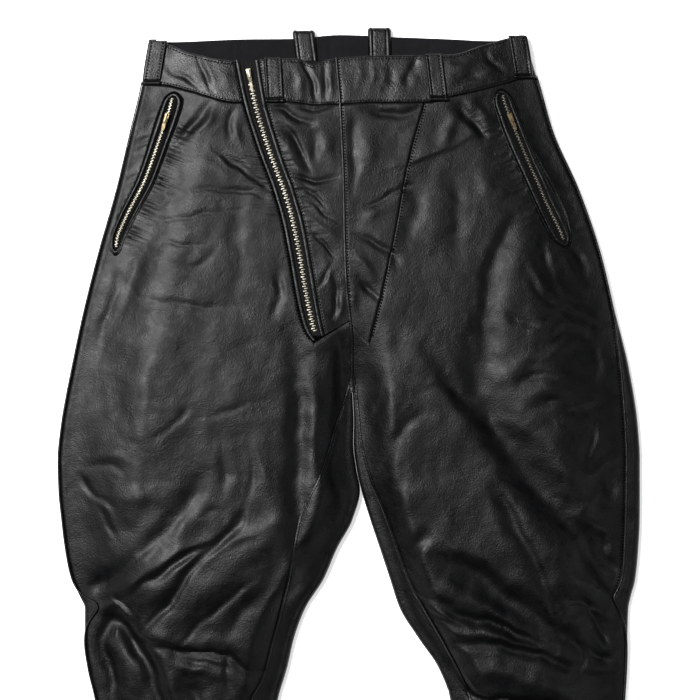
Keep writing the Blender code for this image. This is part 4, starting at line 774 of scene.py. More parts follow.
class Surface:
    """A new material, with short ways to build its node tree."""

    def __init__(self, name, turn=0.0):
        self.material = bpy.data.materials.new(name)
        self.material.use_nodes = True
        self.tree = self.material.node_tree
        self.vector = self.coordinates(turn=turn)

    def node(self, kind, links, **values):
        """Node with its values set, and its inputs linked."""
        made = self.tree.nodes.new(kind)
        for key, value in values.items():
            if key in made.inputs:
                made.inputs[key].default_value = value
            else:
                setattr(made, key, value)
        for key, source in links.items():
            self.tree.links.new(source, made.inputs[key])
        return made

    def coordinates(self, scale=(1.0, 1.0, 1.0), turn=0.0):
        place = self.node("ShaderNodeTexCoord", {}).outputs["Object"]
        mapping = self.node("ShaderNodeMapping", {"Vector": place}, Scale=scale, Rotation=(0.0, 0.0, turn))
        return mapping.outputs["Vector"]

    def noise(self, scale, detail=3.0, roughness=0.55, distortion=0.0, vector=None):
        source = self.vector if vector is None else vector
        made = self.node("ShaderNodeTexNoise", {"Vector": source}, Scale=scale, Detail=detail,
                         Roughness=roughness, Distortion=distortion)
        return made.outputs["Fac"]

    def wave(self, scale, distortion, direction="X"):
        made = self.node("ShaderNodeTexWave", {"Vector": self.vector}, Scale=scale, Distortion=distortion,
                         bands_direction=direction)
        return made.outputs["Fac"]

    def ramp(self, source, low, high, dark, light):
        """Colour ramp over a value: dark below low, light above high."""
        made = self.node("ShaderNodeValToRGB", {0: source})
        for element, position, colour in zip(made.color_ramp.elements, (low, high), (dark, light)):
            element.position = position
            element.color = (*colour, 1.0)
        return made.outputs[0]

    def grey_ramp(self, source, low, high, dark, light):
        return self.ramp(source, low, high, (dark,) * 3, (light,) * 3)

    def product(self, first, second):
        return self.node("ShaderNodeMath", {0: first, 1: second}, operation="MULTIPLY").outputs[0]

    def bump(self, height, strength, distance, below=None):
        links = {"Height": height} if below is None else {"Height": height, "Normal": below}
        return self.node("ShaderNodeBump", links, Strength=strength, Distance=distance).outputs["Normal"]

    def finished(self, looks):
        """The material with its looks on the shader, each a node's output or a value all over."""
        inputs = self.tree.nodes["Principled BSDF"].inputs
        for key, source in looks.items():
            if isinstance(source, bpy.types.NodeSocket):
                self.tree.links.new(source, inputs[key])
            else:
                inputs[key].default_value = source
        return self.material


LEATHER_DARK = (0.0008, 0.0009, 0.00095)
LEATHER_WORN = (0.0022, 0.0025, 0.0027)
LINE_NETS = ((150.0, 0.10), (330.0, 0.12))  # scale and strength of each net of fine lines
LINE_WARP = (0.012, 0.012, 0.012)


def leather_material(name, gloss=0.44, shine=0.185):
    """Black nappa: pebbled grain, fine drawn wrinkles, a few duller and paler worn places."""
    surface = Surface(name)
    around = {"Vector": surface.vector}
    grain = surface.node("ShaderNodeTexVoronoi", around, Scale=700.0, feature="F1")
    normal = surface.bump(grain.outputs["Distance"], 0.55, 0.0003)
    normal = surface.bump(surface.noise(420.0, 4.0, 0.7), 0.4, 0.0005, normal)
    # a net of fine drawn lines, stronger in some places than in others
    warp = surface.node("ShaderNodeTexNoise", around, Scale=55.0, Detail=3.0)
    shifted = surface.node("ShaderNodeVectorMath", {0: warp.outputs["Color"], 2: surface.vector},
                           operation="MULTIPLY_ADD")
    shifted.inputs[1].default_value = LINE_WARP
    for scale, strength in LINE_NETS:
        net = surface.node("ShaderNodeTexVoronoi", {"Vector": shifted.outputs[0]}, Scale=scale,
                           feature="DISTANCE_TO_EDGE")
        lines = surface.grey_ramp(net.outputs["Distance"], 0.0, 0.14, 0.0, 1.0)
        places = surface.grey_ramp(surface.noise(16.0), 0.42, 0.62, 0.3, 1.0)
        normal = surface.bump(surface.product(lines, places), strength, 0.0006, normal)
    normal = surface.bump(surface.noise(110.0, 4.0), 0.28, 0.0013, normal)
    normal = surface.bump(surface.noise(34.0, 1.5, 0.45, 0.5), 0.5, 0.0028, normal)
    sheen_map = surface.noise(60.0, 6.0, 0.7, 0.6)
    return surface.finished({
        "Base Color": surface.ramp(surface.noise(18.0, 6.0, 0.65), 0.36, 0.68, LEATHER_DARK, LEATHER_WORN),
        "Roughness": surface.grey_ramp(sheen_map, 0.32, 0.70, gloss - 0.08, gloss + 0.16),
        "Normal": normal,
        "Specular IOR Level": shine,
        "Coat Weight": 0.03,
        "Coat Roughness": 0.24,
    })


def cotton_material():
    """Black woven facing, with a little lint."""
    surface = Surface("facing_cotton")
    weave = surface.product(surface.wave(420.0, 1.2, "X"), surface.wave(420.0, 1.2, "Y"))
    clouds = surface.noise(60.0, 5.0, 0.7)
    return surface.finished({
        "Base Color": surface.ramp(clouds, 0.38, 0.75, (0.0008, 0.0009, 0.0013), (0.0040, 0.0042, 0.0056)),
        "Roughness": 0.88,
        "Normal": surface.bump(surface.noise(90.0, 4.0), 0.5, 0.0015, surface.bump(weave, 0.6, 0.0003)),
        "Specular IOR Level": 0.25,
    })


def woven_material(name, wave, turn, dark, light, strength, distance, roughness, shine):
    """Black ribbed tape or twisted thread; wave is the scale, distortion and direction of its ribs."""
    surface = Surface(name, turn)
    ribs = surface.wave(*wave)
    return surface.finished({
        "Base Color": surface.ramp(ribs, 0.2, 0.9, dark, light),
        "Roughness": roughness,
        "Normal": surface.bump(ribs, strength, distance),
        "Specular IOR Level": shine,
    })


def tape_material(name, dark, light):
    return woven_material(name, (300.0, 0.6, "Y"), 0.3, dark, light, 0.7, 0.0004, 0.9, 0.12)


def metal_material(name, pale, worn, roughness):
    """Worn nickel: pale and warm, tarnished in patches, finely scratched."""
    surface = Surface(name)
    along = surface.coordinates((1.0, 0.08, 1.0), 0.3)
    return surface.finished({
        "Base Color": surface.ramp(surface.noise(260.0, 5.0, 0.7), 0.35, 0.70, worn, pale),
        "Roughness": surface.grey_ramp(surface.noise(480.0), 0.3, 0.7, roughness - 0.08, roughness + 0.18),
        "Normal": surface.bump(surface.noise(2400.0, 2.0, vector=along), 0.25, 0.0001),
        "Metallic": 1.0,
    })


def floor_material():
    """Plain white board."""
    surface = Surface("floor_white")
    return surface.finished({
        "Base Color": surface.grey_ramp(surface.noise(3.0), 0.3, 0.7, 0.93, 0.95),
        "Roughness": 0.9,
        "Emission Color": (1.0, 1.0, 1.0, 1.0),
        "Emission Strength": 0.62,
    })


LEATHER_MAIN = leather_material("nappa_black")
LEATHER_TRIM = leather_material("nappa_trim", 0.37, 0.24)
COTTON = cotton_material()
TAPE = tape_material("zip_tape_weave", (0.0035, 0.0035, 0.0036), (0.0150, 0.0145, 0.0138))
# The pockets' tape is the fly's weave painted darker: painted shade for the shadow inside the pockets' slots,
# not the tape's own colour.
POCKET_TAPE_PAINTED_SHADE = tape_material("pocket_tape_painted_shade", (0.0010, 0.0010, 0.0011), (0.0060, 0.0058, 0.0055))
THREAD = woven_material("sewing_thread", (900.0, 0.5), 0.7, (0.0008, 0.0008, 0.0008), (0.004, 0.004, 0.004),
                        0.6, 0.0002, 0.75, 0.06)
TEETH_METAL = metal_material("zip_teeth_nickel", (0.50, 0.475, 0.41), (0.28, 0.255, 0.20), 0.48)
FLY_PULL_METAL = metal_material("fly_pull_nickel", (0.58, 0.54, 0.44), (0.36, 0.32, 0.23), 0.42)
PULL_METAL = metal_material("zip_pull_nickel", (0.32, 0.25, 0.155), (0.17, 0.125, 0.068), 0.46)


# ---------------------------------------------------------------- meshes

def mesh_object(name, points, faces, finish, sharp=50.0):
    """Object from arrays of points and of faces with like numbers of corners."""
    mesh = bpy.data.meshes.new(name)
    corners = faces.shape[1]
    mesh.vertices.add(len(points))
    mesh.vertices.foreach_set("co", np.asarray(points, np.float32).ravel())
    mesh.loops.add(faces.size)
    mesh.loops.foreach_set("vertex_index", faces.astype(np.int32).ravel())
    mesh.polygons.add(len(faces))
    mesh.polygons.foreach_set("loop_start", np.arange(0, faces.size, corners, dtype=np.int32))
    mesh.polygons.foreach_set("loop_total", np.full(len(faces), corners, np.int32))
    mesh.update(calc_edges=True)
    mesh.validate()
    mesh.shade_smooth()
    mesh.set_sharp_from_angle(angle=math.radians(sharp))
    mesh.materials.append(finish)
    made = bpy.data.objects.new(name, mesh)
    bpy.context.scene.collection.objects.link(made)
    return made


def grid_normals(grid, facing):
    """Unit normals of a grid of points, turned so that on the whole they face up (1) or down (-1)."""
    along_rows = np.gradient(grid, axis=1)
    down_rows = np.gradient(grid, axis=0)
    normals = np.cross(along_rows, down_rows)
    size = np.linalg.norm(normals, axis=-1, keepdims=True)
    normals = normals / np.maximum(size, 1e-12)
    weight = (normals[..., 2] * size[..., 0]).sum()
    return normals * (facing if weight > 0 else -facing)


def shell(name, node_name, grid, thickness, finish, facing=1, present=None, drop=None):
    """Thin closed shell under a grid of points of its outer face; drop turns the face in at its seams.

    It stands for a solid of the frame where that is named.
    """
    rows, columns = grid.shape[:2]
    normals = grid_normals(grid, facing)
    if drop is not None:
        grid = grid - normals * (drop * MM)[..., None]
    inner = grid - normals * thickness * MM
    if present is None:
        present = np.ones((rows - 1, columns - 1), bool)
    index = np.arange(rows * columns).reshape(rows, columns)
    quads = np.stack([index[:-1, :-1], index[1:, :-1], index[1:, 1:], index[:-1, 1:]], axis=-1)[present]
    along = grid[0, 1] - grid[0, 0]
    if np.dot(np.cross(grid[1, 0] - grid[0, 0], along), normals[0, 0]) < 0:
        quads = quads[:, ::-1]
    count = rows * columns
    steps = np.concatenate([quads[:, [k, (k + 1) % 4]] for k in range(4)])
    forward = steps[:, 0].astype(np.int64) * count + steps[:, 1]
    backward = steps[:, 1].astype(np.int64) * count + steps[:, 0]
    rim = steps[~np.isin(forward, backward)]
    walls = np.column_stack([rim[:, 1], rim[:, 0], rim[:, 0] + count, rim[:, 1] + count])
    faces = np.concatenate([quads, quads[:, ::-1] + count, walls])
    used = np.unique(faces)
    renumber = np.zeros(2 * count, int)
    renumber[used] = np.arange(len(used))
    points = np.concatenate([grid.reshape(-1, 3), inner.reshape(-1, 3)])[used]
    made = mesh_object(name, points, renumber[faces], finish)
    if node_name:
        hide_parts(node_name)
    return made


def leather_shell(node_name, grid, thickness, finish, facing=1, present=None, drop=None):
    return shell(f"{node_name}_leather", node_name, grid, thickness, finish, facing, present, drop)


def between(start, end, shares):
    """Columns of values shared out between two columns."""
    return start[:, None] * (1 - shares) + end[:, None] * shares


def peak(distance, width):
    """Bell of height 1, for a groove, a rim or a cord."""
    return np.exp(-(distance / width) ** 2)


def round_top(steps):
    """Half circle over -1 to 1."""
    return np.sqrt(np.clip(1.0 - steps ** 2, 0.0, 1.0))


def raised(side, downs, walks, rise):
    """Points round the outer fold, each so much above the surface along its own normal."""
    base = outer_walk(side, downs, walks, 0.0)
    lifted = outer_walk(side, downs, walks, 1.0)
    return base + (lifted - base) * rise[..., None]


def close_ends(cells, width):
    """Shares 0 to 1 for so many cells, with close ones at both ends, where a seam turns in."""
    edge = np.array([0.0, 0.45, 0.9, 1.4, 1.9, 2.4, 3.1, 4.2]) / width
    middle = np.linspace(edge[-1], 1 - edge[-1], cells - 2 * (len(edge) - 1) + 1)
    return np.concatenate([edge[:-1], middle, 1 - edge[:-1][::-1]])


def turned_in(distance, depth=1.0, reach=0.8):
    """How far a face drops towards its seam, from the distance to it."""
    return depth * np.exp(-(np.maximum(distance, 0.0) / reach) ** 1.5)


def stitched_in(distance, depth=1.2, groove=0.2, place=2.0):
    """The same beside a row of stitches, which draws in a groove."""
    return turned_in(distance, depth) + groove * peak(distance - place, 0.75)


# ---------------------------------------------------------------- fronts, backs and calves

ROW_STEP, LOW_STEP = 2.6, 8.0  # between the rows of a front, and below the knee
GATHER_END, GATHER_STEP = 242.0, 1.35  # rows are closer where the pockets' sewing puckers the leather
FINE_END = 724.0
OUTER_CELLS, INNER_CELLS = 100, 28  # cells of a row outside and inside of the middle line
OUTER_SPAN, INNER_SPAN = 170.0, 60.0  # about their lengths
ARCH_HEAD, ARCH_FOOT = 9.0, 7.0
SLOT_HOLLOW = 3.4


def front_seam(side, down):
    """Across of the front's seam with the fly or with the inset."""
    return SEAMS["fly_outer" if side == RIGHT else "inset"](side, down)


def front_end(side, down):
    """Inner end of the front: the centre seam above the crotch, the inseam below it."""
    t = smooth((np.asarray(down, float) - CROTCH + CROTCH_STEP - 1.0) / CROTCH_STEP)
    return inner_edge(side, down) * (1 - t) + inseam(side, np.maximum(down, CROTCH)) * t


def middle_line(side, down):
    """Edge of the fly or of the inset, and below them a line inside the front."""
    def width(level):
        return front_end(side, level) - outer_edge(side, level)

    gap = side * SEAM_GAP / 2
    start = (front_seam(side, FORK) + gap - outer_edge(side, FORK)) / width(FORK)
    usual = OUTER_CELLS / (OUTER_CELLS + INNER_CELLS)
    share = start + (usual - start) * smooth((down - FORK) / MIDDLE_SPREAD)
    below = outer_edge(side, down) + share * width(down)
    return np.where(down <= FORK, front_seam(side, down) + gap, below)


def row_down(level, across, band):
    """Down along a row: it follows a waistband's seam at the top and runs level from the hips."""
    sag = 1.0 - smooth((level - BAND_SEAM) / ROWS_SAG)
    return level + (band["seam"](across) + SEAM_GAP / 2 - BAND_SEAM) * sag


def side_down(side, level):
    return row_down(level, outer_edge(side, level), BAND_BACK_LINES)


def front_levels():
    top = BAND_SEAM + np.array([0.0, 0.6, 1.3])
    gathered = np.linspace(BAND_SEAM + 2.4, GATHER_END, int((GATHER_END - BAND_SEAM) / GATHER_STEP))
    stretches = ((GATHER_END, FORK, ROW_STEP), (FORK, FINE_END, ROW_STEP),
                 (FINE_END, GARMENT_LENGTH, LOW_STEP))
    below = [np.linspace(start, end, int((end - start) / step))[1:] for start, end, step in stretches]
    return np.concatenate([top, gathered, *below])


def arch(downs, first, last):
    """Share of a slot's width: 1 along it, closing in a round head and a shorter round foot."""
    head = np.clip((first + ARCH_HEAD - downs) / ARCH_HEAD, 0.0, 1.0)
    foot = np.clip((downs - last + ARCH_FOOT) / ARCH_FOOT, 0.0, 1.0)
    return np.sqrt(np.maximum((1.0 - head ** 2) * (1.0 - foot ** 2), 0.01))


def pocket_ends(side):
    """Downs of a pocket's head and foot."""
    return POCKETS[side][0][0], POCKETS[side][-1][0]


def slot_depth(side, across, down):
    """Hollow of the front under a pocket's slot."""
    low, high = (POCKET_LINES[side][name](down) for name in ("low_side", "high_side"))
    first, last = pocket_ends(side)
    half = (high - low) / 2 * arch(down, first, last)
    inside = smooth((half - 1.0 - np.abs(across - (low + high) / 2)) / 3.0)
    ends = smooth((down - first - 3.0) / 5.0) * smooth((last - 3.0 - down) / 5.0)
    return SLOT_HOLLOW * inside * ends


def front(side):
    """One front, from the outseam to the fly or the inset, and below them to the centre seam and inseam."""
    levels = front_levels()
    fork = int(np.searchsorted(levels, FORK - 0.01))
    seam = outseam_walk(side, levels) - SEAM_GAP / 2
    middle_downs = row_down(levels, middle_line(side, levels), BAND_FRONT_LINES)
    middle = walk_to(side, middle_line(side, middle_downs), middle_downs)
    walks = between(seam, middle, close_ends(OUTER_CELLS, OUTER_SPAN))
    downs = levels[:, None] + 0.0 * walks
    for _ in range(4):
        across = outer_edge(side, downs) - side * (radius(downs) - walks)
        downs = row_down(levels[:, None], across, BAND_FRONT_LINES)
    near_seam = smooth((seam[:, None] - walks) / 14.0)
    downs = side_down(side, levels)[:, None] * (1 - near_seam) + downs * near_seam
    climb = FORK_CLIMB[side] * (1.0 - smooth((levels - FORK) / (CROTCH - FORK - CROTCH_STEP)))
    inner_shares = close_ends(INNER_CELLS, INNER_SPAN)[1:]
    inner_downs = between(levels, levels - climb, inner_shares)
    inner_across = between(middle_line(side, levels), front_end(side, levels - climb), inner_shares)
    inner_walks = walk_to(side, inner_across, inner_downs)
    downs = np.column_stack([downs, inner_downs])
    walks = np.column_stack([walks, inner_walks])
    present = np.ones((len(levels) - 1, walks.shape[1] - 1), bool)
    present[:fork, OUTER_CELLS:] = False
    grid = outer_walk(side, downs, walks)
    across = grid[..., 0] / MM
    grid[..., 2] -= slot_depth(side, across, downs) * MM
    drop = stitched_in(walks - seam[:, None], place=3.1)
    drop += turned_in(levels[:, None] - BAND_SEAM + 0.0 * walks)
    drop[:, OUTER_CELLS:] += turned_in(np.abs(walks[:, -1:] - walks[:, OUTER_CELLS:]))
    beside = np.abs(walks[:, OUTER_CELLS:OUTER_CELLS + 1] - walks[:, :OUTER_CELLS + 1])
    drop[:fork + 1, :OUTER_CELLS + 1] += stitched_in(beside)[:fork + 1]
    drop[fork:fork + 4, OUTER_CELLS + 1:] += turned_in(levels[fork:fork + 4] - FORK)[:, None]
    return leather_shell(f"front_{SIDE_NAMES[side]}", grid, LEATHER, LEATHER_MAIN, 1, present, drop)


# Cells of a back's row: round the outer fold, on the floor, round the inner fold and on the top sheet.
BACK_FOLD_CELLS, FLOOR_CELLS, INNER_FOLD_CELLS, STRIP_CELLS = 14, 60, 14, 14
BACK_STEP, CALF_STEP = 3.4, 5.0


def back_grid(side, levels):
    """Back from the outseam round the outer fold, along the floor and up the inner fold to the inseam."""
    seam = outseam_walk(side, levels) + SEAM_GAP / 2
    fold_end = math.pi * radius(levels)
    walks = between(seam, fold_end, np.linspace(0.0, 1.0, BACK_FOLD_CELLS + 1))
    outer = outer_walk(side, side_down(side, levels)[:, None] + 0.0 * walks, walks)
    corner = inner_corner(levels)
    length = math.pi * corner + 2 * (radius(levels) - corner)
    strip = side * (inseam(side, levels) - inner_edge(side, levels)) - corner - SEAM_GAP
    round_inner = between(length, 0.0 * length, np.linspace(0.0, 1.0, INNER_FOLD_CELLS + 1))
    on_strip = between(0.0 * length, -strip, np.linspace(0.0, 1.0, STRIP_CELLS + 1))[:, 1:]
    inner_walks = np.column_stack([round_inner, on_strip])
    inner = inner_walk(side, levels[:, None] + 0.0 * inner_walks, inner_walks)
    start = outer[:, -1, 0] / MM
    end = np.where(levels < CROTCH, inner_edge(side, levels), inner[:, 0, 0] / MM)
    across = between(start, end, np.linspace(0.0, 1.0, FLOOR_CELLS + 1))[:, 1:]
    downs = row_down(levels[:, None], across, BAND_BACK_LINES)
    floor = placed(across, downs, lift(downs))
    return np.concatenate([outer, floor, inner[:, 1:]], axis=1)


def back_piece(name, side, levels):
    grid = back_grid(side, levels)
    present = np.ones((len(levels) - 1, grid.shape[1] - 1), bool)
    present[levels[:-1] < CROTCH, BACK_FOLD_CELLS + FLOOR_CELLS:] = False
    drop = np.zeros(grid.shape[:2])
    drop[:, 0] = 0.5
    drop[:, -1] = 0.7
    drop[0] = np.maximum(drop[0], 0.3)
    return leather_shell(name, grid, LEATHER, LEATHER_MAIN, -1, present, drop)


def back_levels(start, end, step):
    levels = np.linspace(start, end, int((end - start) / step) + 2)
    if start < CROTCH < end:
        levels[np.argmin(np.abs(levels - CROTCH))] = CROTCH
    return levels


def back_and_calf(side):
    seam = KNEE_SEAM[side]
    hand = SIDE_NAMES[side]
    back_rows = back_levels(BAND_SEAM, seam - SEAM_GAP / 2, BACK_STEP)
    calf_rows = back_levels(seam + SEAM_GAP / 2, GARMENT_LENGTH, CALF_STEP)
    return back_piece(f"back_{hand}", side, back_rows), back_piece(f"calf_{hand}", side, calf_rows)


PANEL_ROWS, PANEL_CELLS, PANEL_SPAN = 170, 60, 60.0


def panel(name, side, left_line, right_line, left_ends, right_ends):
    """Panel of the top sheet between two seam lines, each with the downs of its own ends."""
    left_downs, right_downs = np.linspace(*left_ends, PANEL_ROWS), np.linspace(*right_ends, PANEL_ROWS)
    shares = close_ends(PANEL_CELLS, PANEL_SPAN)
    across = between(left_line(left_downs), right_line(right_downs), shares)
    downs = between(left_downs, right_downs, shares)
    level = np.linspace(0.0, 1.0, len(downs))[:, None]
    top = BAND_FRONT_LINES["seam"](across[0]) + SEAM_GAP / 2
    downs = downs + (top - downs[0]) * (1.0 - smooth(level * 6.0))
    width = np.abs(across[:, -1:] - across[:, :1])
    drop = stitched_in(shares * width) + turned_in((1 - shares) * width) + turned_in(downs - downs[:1])
    return leather_shell(name, on_top(side, across, downs), LEATHER, LEATHER_MAIN, 1, None, drop)


def fly_panel():
    centre_ends = (82.0, FORK - FORK_CLIMB[RIGHT] - 0.5)
    return panel("fly_panel", RIGHT, FLY_LINES["inner"], centre_line(RIGHT), (80.0, 323.0), centre_ends)


def inset_panel():
    centre_ends = (82.0, FORK - FORK_CLIMB[LEFT] - 0.5)
    return panel("front_left_inset", LEFT, centre_line(LEFT), INSET_LINES["inset_seam"], centre_ends,
                 (80.0, FORK - 0.5))


# ---------------------------------------------------------------- waistband, facing and loops

BAND_OVERLAP = 3.0          # the back's ends lie this far in from the side folds, under the loops
BAND_ROWS = 18
BAND_HEIGHT = 46.0
BAND_SPAN = 90.0            # about the length of a front piece
BAND_MIDDLE = 45.0          # down at which a first guess of its ends is taken
BAND_MARGIN = (0.0, 0.4, 0.8, 1.3, 1.8, 2.3, 2.8, 3.3, 3.8, 4.4, 5.2)  # close rows beside both its edges


def band_row(lines, across, part):
    """Down along a waistband, part of the way from its top edge to its seam."""
    return lines["top"](across) * (1 - part) + (lines["seam"](across) + 0.6) * part


def band_join(side, down):
    return outer_edge(side, down) - side * (radius(down) + BAND_OVERLAP)


def band_front(name, side, start, end, cells):
    """Piece of the front waistband between two places across, each a function of down."""
    shares = close_ends(cells, BAND_SPAN)
    margin = np.array(BAND_MARGIN) / BAND_HEIGHT
    parts = np.concatenate([margin, np.linspace(0.15, 0.85, BAND_ROWS), 1.0 - margin[::-1]])[:, None]
    downs = BAND_MIDDLE
    for _ in range(4):
        across = start(downs) * (1 - shares) + end(downs) * shares + 0.0 * parts
        downs = band_row(BAND_FRONT_LINES, across, parts)
    from_top = parts * BAND_HEIGHT + 0.0 * across
    from_seam = BAND_HEIGHT - from_top
    width = np.abs(across[:, -1:] - across[:, :1])
    drop = turned_in(from_top, 1.5, 1.0) + 0.22 * peak(from_top - 3.4, 0.9)
    drop += turned_in(from_seam, 1.5, 1.0) + 0.2 * peak(from_seam - 2.3, 0.8)
    if name == "waistband_front_right":
        drop += stitched_in((1 - shares) * width)
    elif name == "waistband_fly":
        drop += stitched_in(shares * width) + turned_in((1 - shares) * width)
    else:
        drop += stitched_in(shares * width)
    grid = on_top(side, across, downs, BAND_RISE)
    return leather_shell(name, grid, BAND_LEATHER, LEATHER_TRIM, 1, None, drop)


def waistband():
    return (band_front("waistband_front_right", RIGHT, lambda d: band_join(RIGHT, d), FLY_LINES["outer"], 60),
            band_front("waistband_fly", RIGHT, FLY_LINES["inner"], centre_line(RIGHT), 60),
            band_front("waistband_front_left", LEFT, centre_line(LEFT), lambda d: band_join(LEFT, d), 110),
            waistband_back())


def waistband_back():
    """Round both side folds and along the floor, with its ends under the side loops."""
    parts = np.linspace(0.0, 1.0, 13)
    sides = {}
    for side in SIDES:
        middle = BAND_SEAM / 2
        edge = outer_edge(side, middle)
        downs = np.stack([np.full(18, band_row(BAND_BACK_LINES, edge, part)) for part in parts])
        walks = np.linspace(-BAND_OVERLAP, math.pi * radius(middle), 18)[None, :] + 0.0 * downs
        sides[side] = outer_walk(side, downs, walks, BAND_RISE - 0.2)
    shares = np.linspace(0.0, 1.0, 60)[1:-1]
    start, end = sides[RIGHT][:, -1, 0] / MM, sides[LEFT][:, -1, 0] / MM
    across = between(start, end, shares)
    downs = np.stack([band_row(BAND_BACK_LINES, across[k], part) for k, part in enumerate(parts)])
    floor = placed(across, downs, lift(downs) - BAND_RISE + 0.2)
    grid = np.concatenate([sides[RIGHT], floor, sides[LEFT][:, ::-1]], axis=1)
    return leather_shell("waistband_back", grid, BAND_LEATHER, LEATHER_TRIM, -1)


FACING_ENDS = (-201.0, 178.0)
FACING_SEAMS = (-122.0, -19.0, -4.0, 86.0)


def waist_facing():
    """Black cotton inside the back waistband, eased into small waves, with its vertical seams."""
    across = np.linspace(*FACING_ENDS, 190)[None, :] + np.zeros((22, 1))
    top = BAND_BACK_LINES["top"](across[0]) + 1.0
    seam = BAND_BACK_LINES["seam"](across[0]) - 1.0
    parts = np.linspace(0.0, 1.0, 22)[:, None]
    downs = top * (1 - parts) + seam * parts
    waves = 0.35 * np.sin(across / 7.0 + 1.5 * np.sin(downs / 11.0))
    waves += 0.3 * np.sin(across / 17.0 + downs / 9.0)
    for place in FACING_SEAMS:
        waves += 0.4 * peak(across - place - 4.0, 3.0) - peak(across - place, 1.6)
    low = lift(downs) + BAND_LEATHER + 0.5
    grid = placed(across, downs, low + FACING + 0.5 + waves * smooth(parts * 5.0))
    return shell("waist_facing_cotton", "waist_facing", grid, FACING, COTTON)


LOOP_STITCH = 0.62          # rows of stitches, as a share of the half width
LOOP_STEPS = np.array([0.0, 0.25, 0.45, 0.54, 0.62, 0.70, 0.78, 0.86, 0.92, 0.97, 1.0])
LOOP_STEPS = np.concatenate([-LOOP_STEPS[:0:-1], LOOP_STEPS])


def loop_profile(steps):
    """Rise of a belt loop across its width: rolled margins outside two rows of stitches."""
    steps = np.abs(steps)
    sewn = 0.6 * peak(steps - 0.82, 0.10) - 0.30 * peak(steps - LOOP_STITCH, 0.07)
    return sewn - 1.4 * np.clip((steps - 0.88) / 0.12, 0.0, 1.0) ** 2


def loop_run(share, across_top, across_seam):
    """Middle of a front loop and its downs, part of the way from its top to its foot."""
    middle = across_top * (1 - share) + across_seam * share
    top = BAND_FRONT_LINES["top"](middle) - 0.8
    foot = BAND_FRONT_LINES["seam"](middle) + 1.8
    return middle, top * (1 - share) + foot * share


def loop_bow(share):
    """Rise of a front loop's leather above the waistband, along its length."""
    bow = LOOP_BULGE * np.sin(math.pi * np.minimum(share / 0.9, 1.0)) ** 0.7
    return BAND_RISE + SEAM_GAP + LOOP_LEATHER + bow


def front_loop(name, side, across_top, across_seam, half_width):
    """Belt loop on the front waistband: turned over its top edge, and ending in a folded, stitched bar."""
    share = np.concatenate([[0.0, 0.006, 0.015, 0.03, 0.05], np.linspace(0.08, 0.86, 24),
                            np.linspace(0.875, 1.0, 15)])[:, None]
    middle, downs = loop_run(share, across_top, across_seam)
    bar_share = smooth((share - 0.90) / 0.03)
    across = middle + (half_width + 0.5 * bar_share) * LOOP_STEPS[None, :]
    downs = downs + 0.0 * across
    rolled = 1.6 * (1.0 - np.clip(share / 0.03, 0.0, 1.0)) ** 2
    rolled += 1.2 * np.clip((share - 0.985) / 0.015, 0.0, 1.0)
    lip = 0.9 * peak(share - 0.955, 0.024) - peak(share - 0.905, 0.016)
    face = loop_profile(LOOP_STEPS)[None, :] * (1.0 - 0.7 * bar_share)
    grid = raised(side, downs, walk_to(side, across, downs), loop_bow(share) + face - rolled + lip)
    return leather_shell(name, grid, LOOP_LEATHER, LEATHER_TRIM)


def back_loop_path(top_down):
    """Middle of a back loop's leather: down, height and turn, from the floor side round to the facing."""
    half = LOOP_LEATHER / 2
    low = 0.1 + half
    high = BAND_LIFT + 1.9 + 2 * SEAM_GAP + FACING + half
    turn = (high - low) / 2
    centre = top_down + turn + half
    path = [(down, low, 0.0) for down in np.linspace(BACK_LOOP_START, 14.0, 12)]
    for angle in np.linspace(0.0, math.pi, 17)[1:-1]:
        path.append((centre - turn * math.sin(angle), low + turn - turn * math.cos(angle), angle))
    return path + [(down, high, math.pi) for down in np.linspace(centre + 0.8, BACK_LOOP_END, 20)]


def back_loop_points(place, across_top, across_end, half_width, steps, face):
    """Points across a back loop at one place of its path; face is the rise of its outer side."""
    down, height, angle = place
    across = across_top + (across_end - across_top) * max(down, 0.0) / BACK_LOOP_END
    bow = 0.5 * math.sin(math.pi * min(max(down / BACK_LOOP_END, 0.0), 1.0))
    out = LOOP_LEATHER / 2 + (face + bow) * min(angle, 1.0)
    return placed(across + half_width * steps, down - out * math.sin(angle), height - out * math.cos(angle))


def back_loop(name, top_down, *sizes):
    """Belt loop of the back: from the floor side over the top edge and down onto the facing."""
    face = loop_profile(LOOP_STEPS)
    rows = [back_loop_points(place, *sizes, LOOP_STEPS, face) for place in back_loop_path(top_down)]
    return leather_shell(name, np.stack(rows), LOOP_LEATHER, LEATHER_TRIM)


def back_loop_rows(top_down, *sizes):
    """Both rows of a back loop's stitches, as lines in space."""
    path = [place for place in back_loop_path(top_down) if place[2] > 1.2]
    return [np.array([back_loop_points(place, *sizes, hand * LOOP_STITCH, -0.25) for place in path])
            for hand in SIDES]


# ---------------------------------------------------------------- piping, laps, welts and zips

FLY_STEP = 2.0


def sewn_levels(start, end, step=3.0):
    return np.linspace(start, end, int((end - start) / step) + 2)


def strip(name, node_name, side, low, high, downs, height, thickness, base=0.0, lean=0.0):
    """Rounded strip of leather on the top sheet between two lines; lean makes one side of it steeper."""
    steps = np.linspace(-1.0, 1.0, 9)
    across = between(low(downs), high(downs), (steps + 1) / 2)
    rise = height * round_top(steps) * (1.0 + lean * steps) + base + 0.0 * across
    grid = on_top(side, across, downs[:, None] + 0.0 * across, rise)
    return shell(name, node_name, grid, thickness, LEATHER_TRIM)


LAP_WIDTH, LAP_FOOT, LAP_LEATHER = 3.2, 6.4, 0.5
INSEAM_LAP = 2.2


def lap(name, side, line, downs, width, height, base=0.0, lean=0.0):
    """Felled seam that stands proud along a line."""
    return strip(name, None, side, lambda d: line(d) - width(d) / 2, lambda d: line(d) + width(d) / 2, downs,
                 height, LAP_LEATHER, base - 0.3, lean)


PIPING_CORD = 1.25


